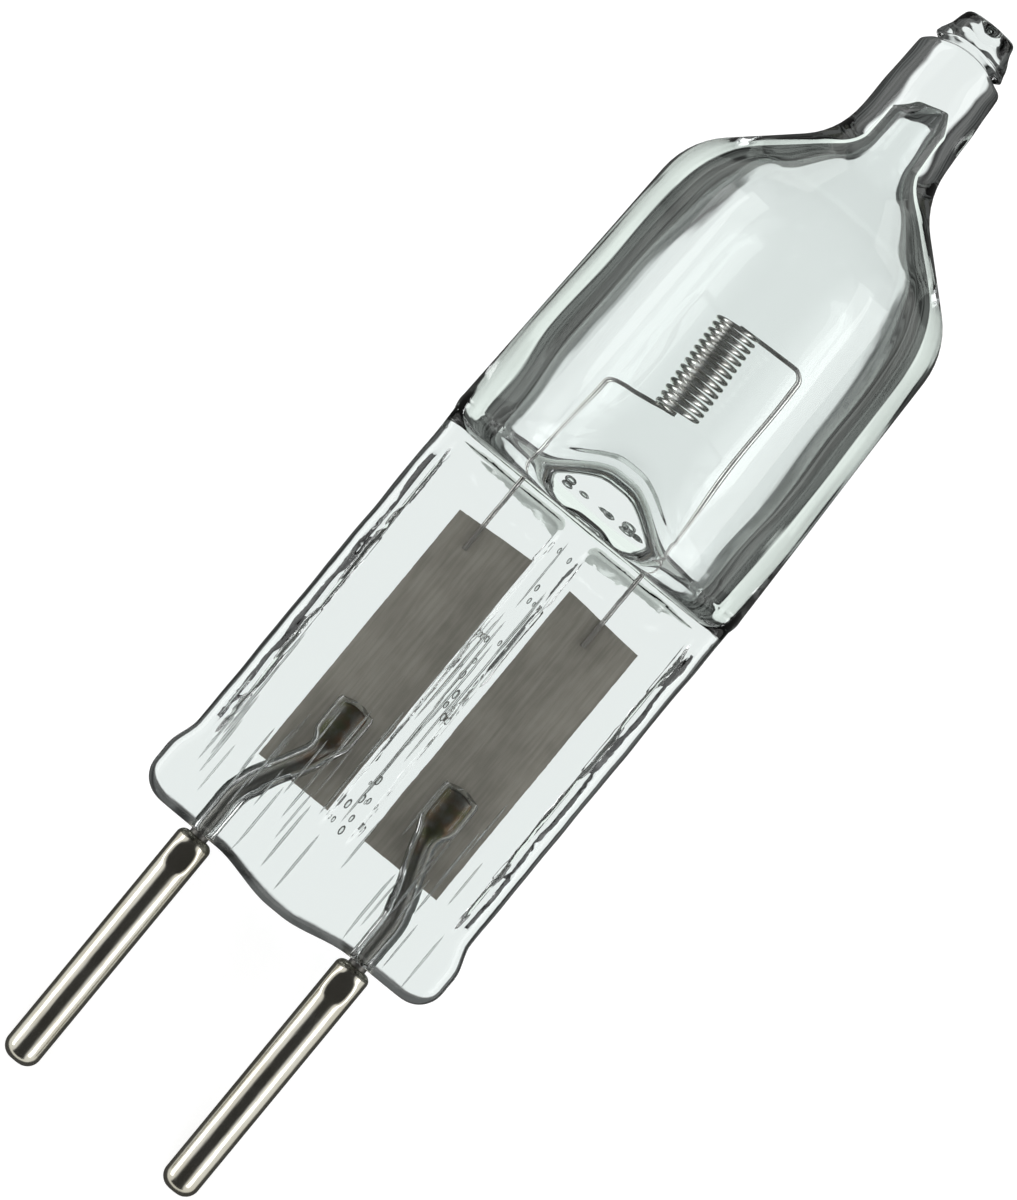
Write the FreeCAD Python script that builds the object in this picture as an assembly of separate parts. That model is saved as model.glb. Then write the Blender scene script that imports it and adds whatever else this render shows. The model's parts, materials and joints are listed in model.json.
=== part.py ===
"""A two-pin halogen capsule bulb: a clear quartz envelope with a flat pinch seal, a coiled tungsten
filament, two molybdenum foils and two outer leads, each crimped into a nickel contact pin.

Every piece is drawn upright: the lamp's axis is +Z with the pinch's foot at z = 0, the pins point
down, the pinch is wide along X and its front faces -Y. The finished lamp is then laid on its back,
as it rests on a table: the bulb's belly and both pin tips touch z = 0, and the tip points to +Y.
Lengths are in millimetres.
"""
import FreeCAD
import Part

import math
import os

from FreeCAD import Vector

# Bulb: the blown part of the envelope
BULB_FOOT_RADIUS = 5.58        # outside, at the foot
BULB_HEAD_RADIUS = 5.2         # outside, where the wall would meet the shoulder's cone
BULB_LENGTH = 11.35            # foot to the shoulder's corner
BULB_WALL = 1.3
BULB_FOOT_ROUND = 0.7
SHOULDER_ROUND = 2.8
SHOULDER_LENGTH = 3.2          # height of the cone between bulb and neck
FLOOR_THICKNESS = 1.0          # quartz between the bulb's foot and the gas space
FLOOR_ROUND = 0.75
FLOOR_HALF_DEPTH = 3.4         # the gas space narrows to this towards the front and back of its floor
FLOOR_FLARE = 24.0             # degrees that its front and back lean outwards above the floor
FLARE_ROUND = 2.0
MOUND_HEIGHT = 0.75            # the floor swells up between the filament's legs
MOUND_TOP_WIDTH = 1.2
MOUND_FOOT_WIDTH = 4.2
MOUND_ROUND = 1.15

# Neck and sealed exhaust tip
NECK_RADIUS = 1.72
NECK_ROUND = 2.6
NECK_LENGTH = 3.95             # shoulder's foot to the rim where the exhaust tube was melted off
NECK_TAPER = 0.1               # the radius lost along the neck
NECK_WALL = 0.72
BORE_END_MARGIN = 1.5          # solid quartz between the bore's end and the rim
BORE_END_RADIUS = 0.62
BORE_END_TAPER = 1.25          # height over which the bore closes in
RIM_ROUND = 0.25
RIM_STEP = 0.24
TIP_LENGTH = 1.55              # the melted nipple above the rim
TIP_END_RADIUS = 1.0
TIP_ROUND = 0.28
TIP_DIMPLE = 0.12

# Pinch: the flat pressed part of the envelope
PINCH_WIDTH = 10.96
PINCH_HEIGHT = 14.8
PINCH_THICKNESS = 3.4
PINCH_EDGE_ROUND = 0.65
PINCH_CORNER_ROUND = 0.95
EAR_PROUD = 0.3                # the foot's corners swell outwards by this
EAR_HEIGHT = 1.75
EAR_BLEND = 0.75
HEEL_DEPTH = 0.4               # the foot's middle swells down by this
HEEL_TOP_WIDTH = 5.0
HEEL_FOOT_WIDTH = 2.8
HEEL_ROUND = 2.4
PANEL_DEPTH = 0.22             # the jaws' pads sink four shallow panels into the faces
PANEL_FOOT = 2.3
PANEL_TOP_MARGIN = 0.2
PANEL_CORNER_ROUND = 0.4
PANEL_DRAFT = 0.12             # the panel's floor is smaller than its mouth by this all round
SIDE_RIM = 0.62
CENTRE_RIB = 0.92

# Foils
FOIL_WIDTH = 2.9
FOIL_LENGTH = 10.1
FOIL_THICKNESS = 0.04
FOIL_FEATHER = 0.35            # the long sides thin out to an edge over this width
FOIL_SPACING = 4.22
FOIL_SHIFT = 0.21              # the pair sits this far right of the lamp's axis
FOIL_TOP_MARGIN = 1.75         # below the bulb's foot

# Filament: one tungsten wire, coiled in the middle, whose two ends are the legs
FILAMENT_WIRE = 0.16
WIRE_SIDES = 6                 # the fine wire's section is a polygon with this many sides
COIL_DIAMETER = 1.42           # through the middle of the wire
COIL_PITCH = 0.24
COIL_TURNS = 14
COIL_HEIGHT = 6.24             # the coil's centre above the bulb's foot
COIL_SHIFT = -0.2
COIL_LEAN = 2.9                # degrees, the top towards -X
LEG_SPACING = 4.75
LEG_SHIFT = -0.1
LEG_BEND = 0.35
LEG_ENTRY_BEND = 1.2
LEG_ENTRY_MARGIN = 0.35        # height above the floor where a leg comes into the foil's plane
LEG_OVERLAP = 1.1              # length welded to the foil

# Outer leads
LEAD_DIAMETER = 0.65
LEAD_STRAIGHT = 1.75           # height in the pinch before a lead bends inwards
LEAD_BEND = 1.6
LEAD_OVERLAP = 3.15            # length over the foil
BLADE_WIDTH = 1.1              # the flattened end that is welded to the foil
BLADE_LENGTH = 1.15
BLADE_NECK = 0.7
BLADE_THICKNESS = 0.34
BLADE_ROUND = 0.2
CAPILLARY_GAP = 0.12           # the quartz doesn't wet the lead and leaves this gap
FUNNEL_DIAMETER = 1.7
FUNNEL_DEPTH = 0.45

# Contact pins: closed sleeves crimped on the leads
PIN_PITCH = 6.35
PIN_DIAMETER = 1.25
PIN_REACH = 9.1                # pinch foot to pin end
PIN_GAP = 0.15                 # pinch foot to the sleeve's mouth
PIN_END_ROUND = 0.35
PIN_MOUTH_ROUND = 0.22
PIN_BORE_DEPTH = 6.0
CRIMP_TOP = 0.45               # sleeve's mouth to the crimp
CRIMP_LENGTH = 0.85
CRIMP_DEPTH = 0.13
CRIMP_ROUND = 0.1

OVERSHOOT = 1.0                # how far a cutting tool runs past what it cuts
TOUCH = 1e-6                   # two lengths this close are the same

# Heights and places that follow
FOOT_Z = PINCH_HEIGHT
FLOOR_Z = FOOT_Z + FLOOR_THICKNESS
SHOULDER_Z = FOOT_Z + BULB_LENGTH
NECK_Z = SHOULDER_Z + SHOULDER_LENGTH
RIM_Z = NECK_Z + NECK_LENGTH
TIP_Z = RIM_Z + TIP_LENGTH
FOIL_TOP_Z = FOOT_Z - FOIL_TOP_MARGIN
FOIL_FOOT_Z = FOIL_TOP_Z - FOIL_LENGTH
FOIL_FACE_Y = FOIL_THICKNESS / 2
LEAD_END_Z = FOIL_FOOT_Z + LEAD_OVERLAP
LEG_END_Z = FOIL_TOP_Z - LEG_OVERLAP
PIN_END_Z = -PIN_REACH
BORE_END_Z = -PIN_GAP - PIN_BORE_DEPTH
SIDES = {"left": -1, "right": 1}


def corner(before, at, after, radius):
    """Start, middle and end of the arc that rounds the corner at a point, and the arc's centre."""
    back = (before - at).normalize()
    ahead = (after - at).normalize()
    half = back.getAngle(ahead) / 2
    inwards = (back + ahead).normalize()
    reach = radius / math.tan(half)
    centre = at + inwards * (radius / math.sin(half))
    return at + back * reach, centre - inwards * radius, at + ahead * reach, centre


def rounded_wire(points, radii, closed=False):
    """A wire through the points, with each corner rounded by its radius, or left sharp by 0."""
    count = len(points)
    arcs = []
    for i, (point, radius) in enumerate(zip(points, radii)):
        inner = closed or 0 < i < count - 1
        if inner and radius > 0:
            start, middle, end, _ = corner(points[i - 1], point, points[(i + 1) % count], radius)
            arcs.append((start, end, Part.Arc(start, middle, end).toShape()))
        else:
            arcs.append((point, point, None))
    edges = []
    for i, (_, end, arc) in enumerate(arcs):
        if arc:
            edges.append(arc)
        if closed or i < count - 1:
            edges.append(Part.LineSegment(end, arcs[(i + 1) % count][0]).toShape())
    return Part.Wire(edges)


def front_face(corners, y=0.0):
    """A face in the plane of the lamp's front at depth y, from corners (x, z, radius)."""
    points = [Vector(x, y, z) for x, z, _ in corners]
    return Part.Face(rounded_wire(points, [radius for _, _, radius in corners], closed=True))


def turned(corners):
    """A solid of revolution about the lamp's axis, from corners (radius, z, rounding)."""
    return front_face(corners).revolve(Vector(0, 0, 0), Vector(0, 0, 1), 360)


def swept_wire(path, start, direction, diameter):
    """A round wire of one diameter along a path."""
    section = Part.Wire(Part.makeCircle(diameter / 2, start, direction))
    return path.makePipeShell([section], True, False)


def filament_section(start, direction):
    """The filament wire's section, square to its direction, with two corners level with its middle."""
    out = Vector(0, 1, 0)
    up = direction.cross(out).normalize()
    out = up.cross(direction).normalize()
    turns = [2 * math.pi * k / WIRE_SIDES for k in range(WIRE_SIDES)]
    points = [start + (out * math.cos(turn) + up * math.sin(turn)) * (FILAMENT_WIRE / 2) for turn in turns]
    return Part.makePolygon(points + points[:1])


def mirrored(corners):
    """Corners on the right, followed by their mirror images on the left in reverse."""
    return corners + [(-x, z, radius) for x, z, radius in reversed(corners)]


def foil_x(side):
    """The middle of a foil across the pinch."""
    return FOIL_SHIFT + SIDES[side] * FOIL_SPACING / 2


def pin_x(side):
    """A pin's axis across the pinch."""
    return SIDES[side] * PIN_PITCH / 2


def flattened(solid, corners):
    """Keeps what lies within a side view, from its right half's corners (depth, z, rounding), foot first."""
    top = TIP_Z + OVERSHOOT
    last = corners[-1][0]
    outline = front_face(mirrored([(last, top, 0)] + corners[::-1]), -2 * last)
    walls = outline.extrude(Vector(0, 4 * last, 0))
    walls.rotate(Vector(0, 0, 0), Vector(0, 0, 1), 90)
    return solid.common(walls)


def bulb_outside():
    """The blown outside: a flat foot with a rounded edge, the wall, shoulder, neck and tip."""
    rim_radius = NECK_RADIUS - NECK_TAPER
    return turned([
        (0, FOOT_Z, 0),
        (BULB_FOOT_RADIUS, FOOT_Z, BULB_FOOT_ROUND),
        (BULB_HEAD_RADIUS, SHOULDER_Z, SHOULDER_ROUND),
        (NECK_RADIUS, NECK_Z, NECK_ROUND),
        (rim_radius, RIM_Z, RIM_ROUND),
        (rim_radius - RIM_STEP, RIM_Z, 0),
        (TIP_END_RADIUS, TIP_Z, TIP_ROUND),
        (TIP_END_RADIUS / 2, TIP_Z, 0),
        (0, TIP_Z - TIP_DIMPLE, 0),
    ])


def gas_space():
    """The sealed gas space, one wall's thickness inside, with a mound in the middle of its floor."""
    bore_radius = NECK_RADIUS - NECK_WALL
    foot = Vector(BULB_FOOT_RADIUS, 0, FOOT_Z)
    shoulder = Vector(BULB_HEAD_RADIUS, 0, SHOULDER_Z)
    neck = Vector(NECK_RADIUS, 0, NECK_Z)
    inner = corner(foot, shoulder, neck, BULB_WALL)[3]
    bore_foot = inner + (neck - shoulder) * ((bore_radius - inner.x) / (neck.x - shoulder.x))
    bore_end_z = RIM_Z - BORE_END_MARGIN
    round_space = turned([
        (0, FLOOR_Z, 0),
        (BULB_FOOT_RADIUS - BULB_WALL, FLOOR_Z, FLOOR_ROUND),
        (inner.x, inner.z, SHOULDER_ROUND - BULB_WALL),
        (bore_radius, bore_foot.z, NECK_ROUND + NECK_WALL),
        (bore_radius - NECK_TAPER, bore_end_z - BORE_END_TAPER, BORE_END_TAPER / 2),
        (BORE_END_RADIUS, bore_end_z, BORE_END_RADIUS / 2),
        (0, bore_end_z, 0),
    ])
    wall = BULB_FOOT_RADIUS - BULB_WALL
    flare_z = FLOOR_Z + (wall - FLOOR_HALF_DEPTH) / math.tan(math.radians(FLOOR_FLARE))
    space = flattened(round_space, [
        (FLOOR_HALF_DEPTH, FLOOR_Z, FLOOR_ROUND),
        (wall, flare_z, FLARE_ROUND),
        (wall, TIP_Z, 0),
    ])
    reach = BULB_FOOT_RADIUS
    mound = front_face(mirrored([
        (reach, FLOOR_Z - OVERSHOOT, 0),
        (reach, FLOOR_Z, 0),
        (MOUND_FOOT_WIDTH / 2, FLOOR_Z, MOUND_ROUND),
        (MOUND_TOP_WIDTH / 2, FLOOR_Z + MOUND_HEIGHT, MOUND_ROUND),
    ]), -reach).extrude(Vector(0, 2 * reach, 0))
    return space.cut(mound)


def pinch_body():
    """The pressed slab with rounded edges, swollen ears and heel, and its four sunken panels."""
    half = PINCH_WIDTH / 2
    top = FOOT_Z + BULB_FOOT_ROUND
    slab = front_face(mirrored([
        (half, top, 0),
        (half, EAR_HEIGHT + EAR_BLEND, PINCH_CORNER_ROUND),
        (half + EAR_PROUD, EAR_HEIGHT, PINCH_CORNER_ROUND),
        (half + EAR_PROUD, 0, PINCH_CORNER_ROUND),
        (HEEL_TOP_WIDTH / 2, 0, HEEL_ROUND),
        (HEEL_FOOT_WIDTH / 2, -HEEL_DEPTH, HEEL_ROUND),
    ]), -PINCH_THICKNESS / 2).extrude(Vector(0, PINCH_THICKNESS, 0))
    rims = [edge for edge in slab.Edges
            if abs(abs(edge.CenterOfMass.y) - PINCH_THICKNESS / 2) < TOUCH
            and edge.CenterOfMass.z < top - TOUCH]
    slab = slab.makeFillet(PINCH_EDGE_ROUND, rims)
    for side in SIDES.values():
        for face in (-1, 1):
            slab = slab.cut(panel_tool(side, face))
    return slab


def panel_tool(side, face):
    """What one pad of the jaws presses out of the slab, with drafted walls."""
    inner = CENTRE_RIB / 2
    outer = PINCH_WIDTH / 2 - SIDE_RIM
    top = PINCH_HEIGHT - PANEL_TOP_MARGIN
    wires = []
    for proud in (-PANEL_DEPTH, PANEL_DEPTH):
        inset = -PANEL_DRAFT * proud / PANEL_DEPTH
        left, right = inner + inset, outer - inset
        foot, head = PANEL_FOOT + inset, top - inset
        outline = [(left, foot), (right, foot), (right, head), (left, head)]
        mouth = front_face([(side * x, z, PANEL_CORNER_ROUND) for x, z in outline],
                           face * (PINCH_THICKNESS / 2 + proud))
        wires.append(mouth.OuterWire)
    return Part.makeLoft(wires, True, True)


def foil(side):
    """One thin foil with feathered long sides."""
    half = FOIL_WIDTH / 2
    flat = half - FOIL_FEATHER
    section = [(half, 0), (flat, FOIL_FACE_Y), (-flat, FOIL_FACE_Y),
               (-half, 0), (-flat, -FOIL_FACE_Y), (flat, -FOIL_FACE_Y)]
    points = [Vector(foil_x(side) + x, y, FOIL_FOOT_Z) for x, y in section]
    face = Part.Face(Part.makePolygon(points + points[:1]))
    return face.extrude(Vector(0, 0, FOIL_LENGTH))


def leg_x(side):
    """Where a leg of the filament runs down, across the lamp."""
    return LEG_SHIFT + SIDES[side] * LEG_SPACING / 2


def coil_end(side):
    """The point where the coil ends, and the direction in which its wire leaves, after the lean."""
    lean = FreeCAD.Rotation(Vector(0, 1, 0), -COIL_LEAN)
    centre = Vector(COIL_SHIFT, 0, FOOT_Z + COIL_HEIGHT)
    rise = COIL_PITCH / (math.pi * COIL_DIAMETER)
    end = Vector(0, COIL_DIAMETER / 2, SIDES[side] * COIL_PITCH * COIL_TURNS / 2)
    direction = Vector(SIDES[side], 0, SIDES[side] * rise)
    return centre + lean.multVec(end), lean.multVec(direction).normalize()


def leg(side):
    """One leg: from the coil's end out to the side, down through the floor and onto the foil."""
    start, direction = coil_end(side)
    plane_y = -FOIL_FACE_Y - FILAMENT_WIRE / 2
    bend = start + direction * ((leg_x(side) - start.x) / direction.x)
    entry = Vector(leg_x(side), plane_y, FLOOR_Z + LEG_ENTRY_MARGIN)
    end = Vector(leg_x(side), plane_y, LEG_END_Z)
    path = rounded_wire([start, bend, entry, end], [0, LEG_BEND, LEG_ENTRY_BEND, 0])
    return path.makePipeShell([filament_section(start, direction)], True, False)


def coil():
    """The coil between the legs: a left-hand helix that leans a little."""
    height = COIL_PITCH * COIL_TURNS
    helix = Part.makeHelix(COIL_PITCH, height, COIL_DIAMETER / 2, 0, True)
    helix.Placement = FreeCAD.Placement(Vector(0, 0, -height / 2), FreeCAD.Rotation(Vector(0, 0, 1), 90))
    helix.Placement = FreeCAD.Placement(
        Vector(COIL_SHIFT, 0, FOOT_Z + COIL_HEIGHT),
        FreeCAD.Rotation(Vector(0, 1, 0), -COIL_LEAN),
    ).multiply(helix.Placement)
    section = filament_section(*coil_end("left"))
    return Part.Wire(helix.Edges).makePipeShell([section], True, True)


def filament():
    """Coil and legs, which are one wire."""
    return coil().fuse([leg("left"), leg("right")])


def outer_lead(side, gap=0.0):
    """One outer lead with its flattened blade on the foil's front, or with a gap the room it takes."""
    diameter = LEAD_DIAMETER + 2 * gap
    on_foil_y = -FOIL_FACE_Y - LEAD_DIAMETER / 2
    blade_foot_z = LEAD_END_Z - BLADE_LENGTH
    points = [
        Vector(pin_x(side), 0, BORE_END_Z),
        Vector(pin_x(side), 0, LEAD_STRAIGHT),
        Vector(foil_x(side), on_foil_y, blade_foot_z - BLADE_NECK),
        Vector(foil_x(side), on_foil_y, blade_foot_z),
    ]
    path = rounded_wire(points, [0, LEAD_BEND, LEAD_BEND, 0])
    wire = swept_wire(path, points[0], Vector(0, 0, 1), diameter)
    half, slim = BLADE_WIDTH / 2 + gap, LEAD_DIAMETER / 4
    outline = [(half, LEAD_END_Z + gap, BLADE_ROUND), (half, blade_foot_z, BLADE_ROUND),
               (slim, blade_foot_z - BLADE_NECK, 0)]
    outline = [(foil_x(side) + x, z, radius) for x, z, radius in mirrored(outline)]
    blade = front_face(outline, 0).extrude(Vector(0, -FOIL_FACE_Y - BLADE_THICKNESS - gap, 0))
    behind = Part.makeBox(PINCH_WIDTH, PINCH_WIDTH, FOOT_Z - FOIL_FOOT_Z,
                          Vector(-PINCH_WIDTH / 2, -FOIL_FACE_Y, FOIL_FOOT_Z))
    return blade.fuse(wire).cut(behind)


def contact_pin(side):
    """One closed sleeve: round end, bored for its lead, with a crimp pressed in front and back."""
    radius = PIN_DIAMETER / 2
    bore = LEAD_DIAMETER / 2
    pin = turned([
        (0, PIN_END_Z, 0),
        (radius, PIN_END_Z, PIN_END_ROUND),
        (radius, -PIN_GAP, PIN_MOUTH_ROUND),
        (bore, -PIN_GAP, 0),
        (bore, BORE_END_Z, 0),
        (0, BORE_END_Z, 0),
    ])
    pin.translate(Vector(pin_x(side), 0, 0))
    for face in (-1, 1):
        floor_y = face * (radius - CRIMP_DEPTH)
        top = -PIN_GAP - CRIMP_TOP
        outline = [(radius, top), (-radius, top), (-radius, top - CRIMP_LENGTH), (radius, top - CRIMP_LENGTH)]
        dent = front_face([(pin_x(side) + x, z, CRIMP_ROUND) for x, z in outline], floor_y)
        pin = pin.cut(dent.extrude(Vector(0, face * OVERSHOOT, 0)))
    return pin


def funnel(side):
    """The small funnel in the pinch's foot where a lead comes out."""
    mouth, throat = FUNNEL_DIAMETER / 2, LEAD_DIAMETER / 2 + CAPILLARY_GAP
    deep = HEEL_DEPTH + OVERSHOOT
    flare = mouth + (mouth - throat) * deep / FUNNEL_DEPTH
    return Part.makeCone(flare, throat, deep + FUNNEL_DEPTH, Vector(pin_x(side), 0, -deep))


def quartz_envelope():
    """Bulb, neck, tip and pinch in one piece of quartz, with the room that its inner pieces take."""
    quartz = bulb_outside().fuse(pinch_body()).cut(gas_space())
    for side in SIDES:
        quartz = quartz.cut([foil(side), leg(side), outer_lead(side, CAPILLARY_GAP), funnel(side)])
    return quartz


def resting_tilt():
    """The angle in degrees by which the axis leans when belly and pin ends touch the table."""
    foot = Vector(BULB_FOOT_RADIUS, 0, FOOT_Z)
    shoulder = Vector(BULB_HEAD_RADIUS, 0, SHOULDER_Z)
    centre = corner(Vector(0, 0, FOOT_Z), foot, shoulder, BULB_FOOT_ROUND)[3]
    across = centre.x - (PIN_DIAMETER / 2 - PIN_END_ROUND)
    along = centre.z - (PIN_END_Z + PIN_END_ROUND)
    difference = PIN_END_ROUND - BULB_FOOT_ROUND
    angle = math.acos(difference / math.hypot(across, along)) - math.atan2(along, across)
    return math.degrees(angle)


def lay_down(pieces):
    """Turns the upright lamp on its back and centres it above the origin, resting on z = 0."""
    turn = FreeCAD.Placement(Vector(), FreeCAD.Rotation(Vector(1, 0, 0), resting_tilt() - 90))
    laid = {name: shape.transformed(turn.toMatrix()) for name, shape in pieces.items()}
    box = Part.makeCompound(list(laid.values())).optimalBoundingBox(False, False)
    middle = Vector(-box.Center.x, -box.Center.y, -box.ZMin)
    for shape in laid.values():
        shape.translate(middle)
    return laid


def main():
    """Builds every piece, lays the lamp down and writes one file for each piece."""
    pieces = {"quartz_envelope": quartz_envelope(), "filament": filament()}
    for side in SIDES:
        pieces["foil_" + side] = foil(side)
        pieces["outer_lead_" + side] = outer_lead(side)
        pieces["contact_pin_" + side] = contact_pin(side)
    os.makedirs("parts", exist_ok=True)
    for name, shape in lay_down(pieces).items():
        shape.exportStep("parts/" + name + ".step")
        print(name, "solids", len(shape.Solids), "valid", shape.isValid(), "volume", round(shape.Volume, 4))


main()
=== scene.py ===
"""Looks of a two-pin halogen capsule bulb, dressed over its construction model.

Pieces are drawn upright, in millimetres: the lamp's axis is +Z with the pinch's foot at z = 0, the pins
point down, the pinch is wide along X and its front faces -Y. Placement then lays each piece down where
the frame has the lamp, in metres.
"""

import json
import logging
import math
from collections.abc import Callable
from dataclasses import dataclass
from enum import Enum

import bpy
import numpy as np
from mathutils import Matrix, Vector


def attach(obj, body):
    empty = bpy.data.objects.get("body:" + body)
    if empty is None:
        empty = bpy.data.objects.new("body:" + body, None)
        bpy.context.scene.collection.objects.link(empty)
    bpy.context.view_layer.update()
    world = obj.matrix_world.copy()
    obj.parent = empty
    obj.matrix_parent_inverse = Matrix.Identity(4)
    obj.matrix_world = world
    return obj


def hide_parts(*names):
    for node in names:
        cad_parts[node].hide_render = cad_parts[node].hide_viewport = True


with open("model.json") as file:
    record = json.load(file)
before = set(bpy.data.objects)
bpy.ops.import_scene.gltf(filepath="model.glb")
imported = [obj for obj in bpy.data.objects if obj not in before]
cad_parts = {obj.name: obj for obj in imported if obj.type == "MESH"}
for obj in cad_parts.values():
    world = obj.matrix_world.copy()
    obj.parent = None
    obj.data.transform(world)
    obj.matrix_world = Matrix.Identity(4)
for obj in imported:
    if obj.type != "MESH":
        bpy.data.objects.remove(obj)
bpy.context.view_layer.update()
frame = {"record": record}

LOG = logging.getLogger("halogen_capsule")
MM = 0.001
SIDES = {"left": -1, "right": 1}
FINE_STEPS = 2000
OUTLINE_STEPS = 600
HALVINGS = 36
OUTSIDE = 1.5
WELD = 1e-5
Pair = tuple[float, float]
Triple = tuple[float, float, float]
Colour = Triple


class Closing(Enum):
    """How a loft ends: drawn together to a point, or folded shut along a line."""

    POINT = "point"
    SEAM = "seam"


# Curves and sections


def smooth_step(low: float, high: float, value: np.ndarray) -> np.ndarray:
    """Rises gently from 0 at low to 1 at high."""
    share = np.clip((value - low) / (high - low), 0.0, 1.0)
    return share * share * (3 - 2 * share)


def smooth_max(first: np.ndarray, second: np.ndarray, reach: np.ndarray | float) -> np.ndarray:
    """The larger of two distances, blended where they differ by less than reach."""
    overlap = np.maximum(reach - np.abs(first - second), 0.0) / reach
    return np.maximum(first, second) + overlap * overlap * reach / 4


def smooth_min(first: np.ndarray, second: np.ndarray, reach: np.ndarray | float) -> np.ndarray:
    """The smaller of two distances, blended where they differ by less than reach."""
    return -smooth_max(-first, -second, reach)


def stretch_at(place: float, ends: Pair) -> Pair:
    """The stretch whose ends lie so far from a place."""
    return place + ends[0], place + ends[1]


def unit(vector: np.ndarray) -> np.ndarray:
    """The vector at length 1."""
    return vector / np.linalg.norm(vector)


def crowded(start: float, end: float, count: int, spots: list[float], crowding: float,
            reach: float) -> np.ndarray:
    """Places from start to end that lie closer together near some spots.

    Args:
        start: first place.
        end: last place.
        count: how many places.
        spots: where they crowd.
        crowding: how many times denser they are there, less one.
        reach: width of a crowded stretch.

    Returns:
        The places, in rising order.
    """
    fine = np.linspace(start, end, FINE_STEPS)
    density = 1 + crowding * sum(np.exp(-(((fine - spot) / reach) ** 2)) for spot in spots)
    share = np.concatenate([[0.0], np.cumsum((density[1:] + density[:-1]) / 2)])
    return np.interp(np.linspace(0, share[-1], count), share, fine)


def corner_arc(before: np.ndarray, at: np.ndarray, after: np.ndarray,
               radius: float) -> tuple[np.ndarray, ...]:
    """Start, end and centre of the arc that rounds the corner at a point.

    Args:
        before: a place on the line before the corner.
        at: the corner.
        after: a place on the line after it.
        radius: the arc's radius.

    Returns:
        The arc's start, its end and its centre.
    """
    back = unit(before - at)
    ahead = unit(after - at)
    half = math.acos(float(np.clip(back @ ahead, -1, 1))) / 2
    reach = radius / math.tan(half)
    centre = at + unit(back + ahead) * radius / math.sin(half)
    return at + back * reach, at + ahead * reach, centre


def rounded_line(corners: list[tuple[tuple[float, ...], float]], step: float,
                 turn: float = 7.0) -> np.ndarray:
    """Points along a line whose corners are rounded.

    Args:
        corners: each corner's place and rounding; the two ends have a rounding of 0.
        step: longest step on straight stretches.
        turn: longest step on arcs, in degrees.

    Returns:
        The points, first to last, as rows.
    """
    places = [np.asarray(place, float) for place, _ in corners]
    stops = [[places[0]]]
    for before, at, after, (_, radius) in zip(places, places[1:], places[2:], corners[1:]):
        if radius <= 0:
            stops.append([at])
            continue
        start, end, centre = corner_arc(before, at, after, radius)
        angle = math.acos(float(np.clip(unit(start - centre) @ unit(end - centre), -1, 1)))
        count = max(2, math.ceil(math.degrees(angle) / turn))
        first, last = (start - centre) / math.sin(angle), (end - centre) / math.sin(angle)
        turns = [i / count * angle for i in range(count + 1)]
        stops.append([centre + first * math.sin(angle - past) + last * math.sin(past) for past in turns])
    stops.append([places[-1]])
    points = list(stops[0])
    for stop in stops[1:]:
        gap = stop[0] - points[-1]
        count = max(1, math.ceil(np.linalg.norm(gap) / step))
        points += [points[-1] + gap * i / count for i in range(1, count)] + stop
    return np.array(points)


@dataclass(frozen=True)
class Waves:
    """Gentle unevenness with waves of about one length."""

    depth: float
    length: float
    seed: int
    count: int = 7
    spread: Pair = (0.7, 1.5)
    peak: float = 1.6

    def at(self, points: np.ndarray) -> np.ndarray:
        """How deep it is at each point, from 0 to its depth.

        Args:
            points: places, as rows.

        Returns:
            A depth for each point.
        """
        draw = np.random.default_rng(self.seed)
        total = np.zeros(len(points))
        for _ in range(self.count):
            direction = unit(draw.normal(size=3)) * 2 * math.pi / (self.length * draw.uniform(*self.spread))
            total += np.sin(points @ direction + draw.uniform(0, 2 * math.pi))
        return self.depth * (0.5 + 0.5 * np.clip(total / math.sqrt(self.count) / self.peak, -1, 1))


def outlines(distance: Callable[[np.ndarray, np.ndarray], np.ndarray], reach_x: np.ndarray,
             reach_y: np.ndarray, heights: np.ndarray, shares: np.ndarray) -> np.ndarray:
    """Rings round the axis where a distance from a section's outline is 0.

    Args:
        distance: gives the distance outside the outline at places x, y, as rings by places.
        reach_x: each section's half width.
        reach_y: each section's half depth.
        heights: each ring's height.
        shares: where each ring's points lie along a quarter of its outline, from 0 to 1.

    Returns:
        The rings, as rings by places by 3.
    """
    angles = np.linspace(0, math.pi / 2, OUTLINE_STEPS)
    along_x = reach_x[:, None] * np.cos(angles)
    along_y = reach_y[:, None] * np.sin(angles)
    low = np.zeros_like(along_x)
    high = np.full_like(along_x, OUTSIDE)
    for _ in range(HALVINGS):
        middle = (low + high) / 2
        outside = distance(middle * along_x, middle * along_y) > 0
        high = np.where(outside, middle, high)
        low = np.where(outside, low, middle)
    rings = []
    for x, y, z, share in zip(low * along_x, low * along_y, heights, shares):
        length = np.concatenate([[0.0], np.cumsum(np.hypot(np.diff(x), np.diff(y)))])
        places = share * length[-1]
        px, py = np.interp(places, length, x), np.interp(places, length, y)
        px[-1] = py[0] = 0.0
        xs = np.concatenate([px[:-1], -px[:0:-1], -px[:-1], px[:0:-1]])
        ys = np.concatenate([py[:-1], py[:0:-1], -py[:-1], -py[:0:-1]])
        rings.append(np.stack([xs, ys, np.full_like(xs, z)], axis=1))
    return np.array(rings)


@dataclass
class Shell:
    """Points in upright millimetres, and the faces between them."""

    points: np.ndarray
    faces: list[tuple[int, ...]]

    def __add__(self, other: "Shell") -> "Shell":
        """Both shells as one."""
        shift = len(self.points)
        moved = [tuple(i + shift for i in face) for face in other.faces]
        return Shell(np.vstack([self.points, other.points]), self.faces + moved)

    def inside_out(self) -> "Shell":
        """The same shell with its faces turned round."""
        return Shell(self.points, [face[::-1] for face in self.faces])


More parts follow.
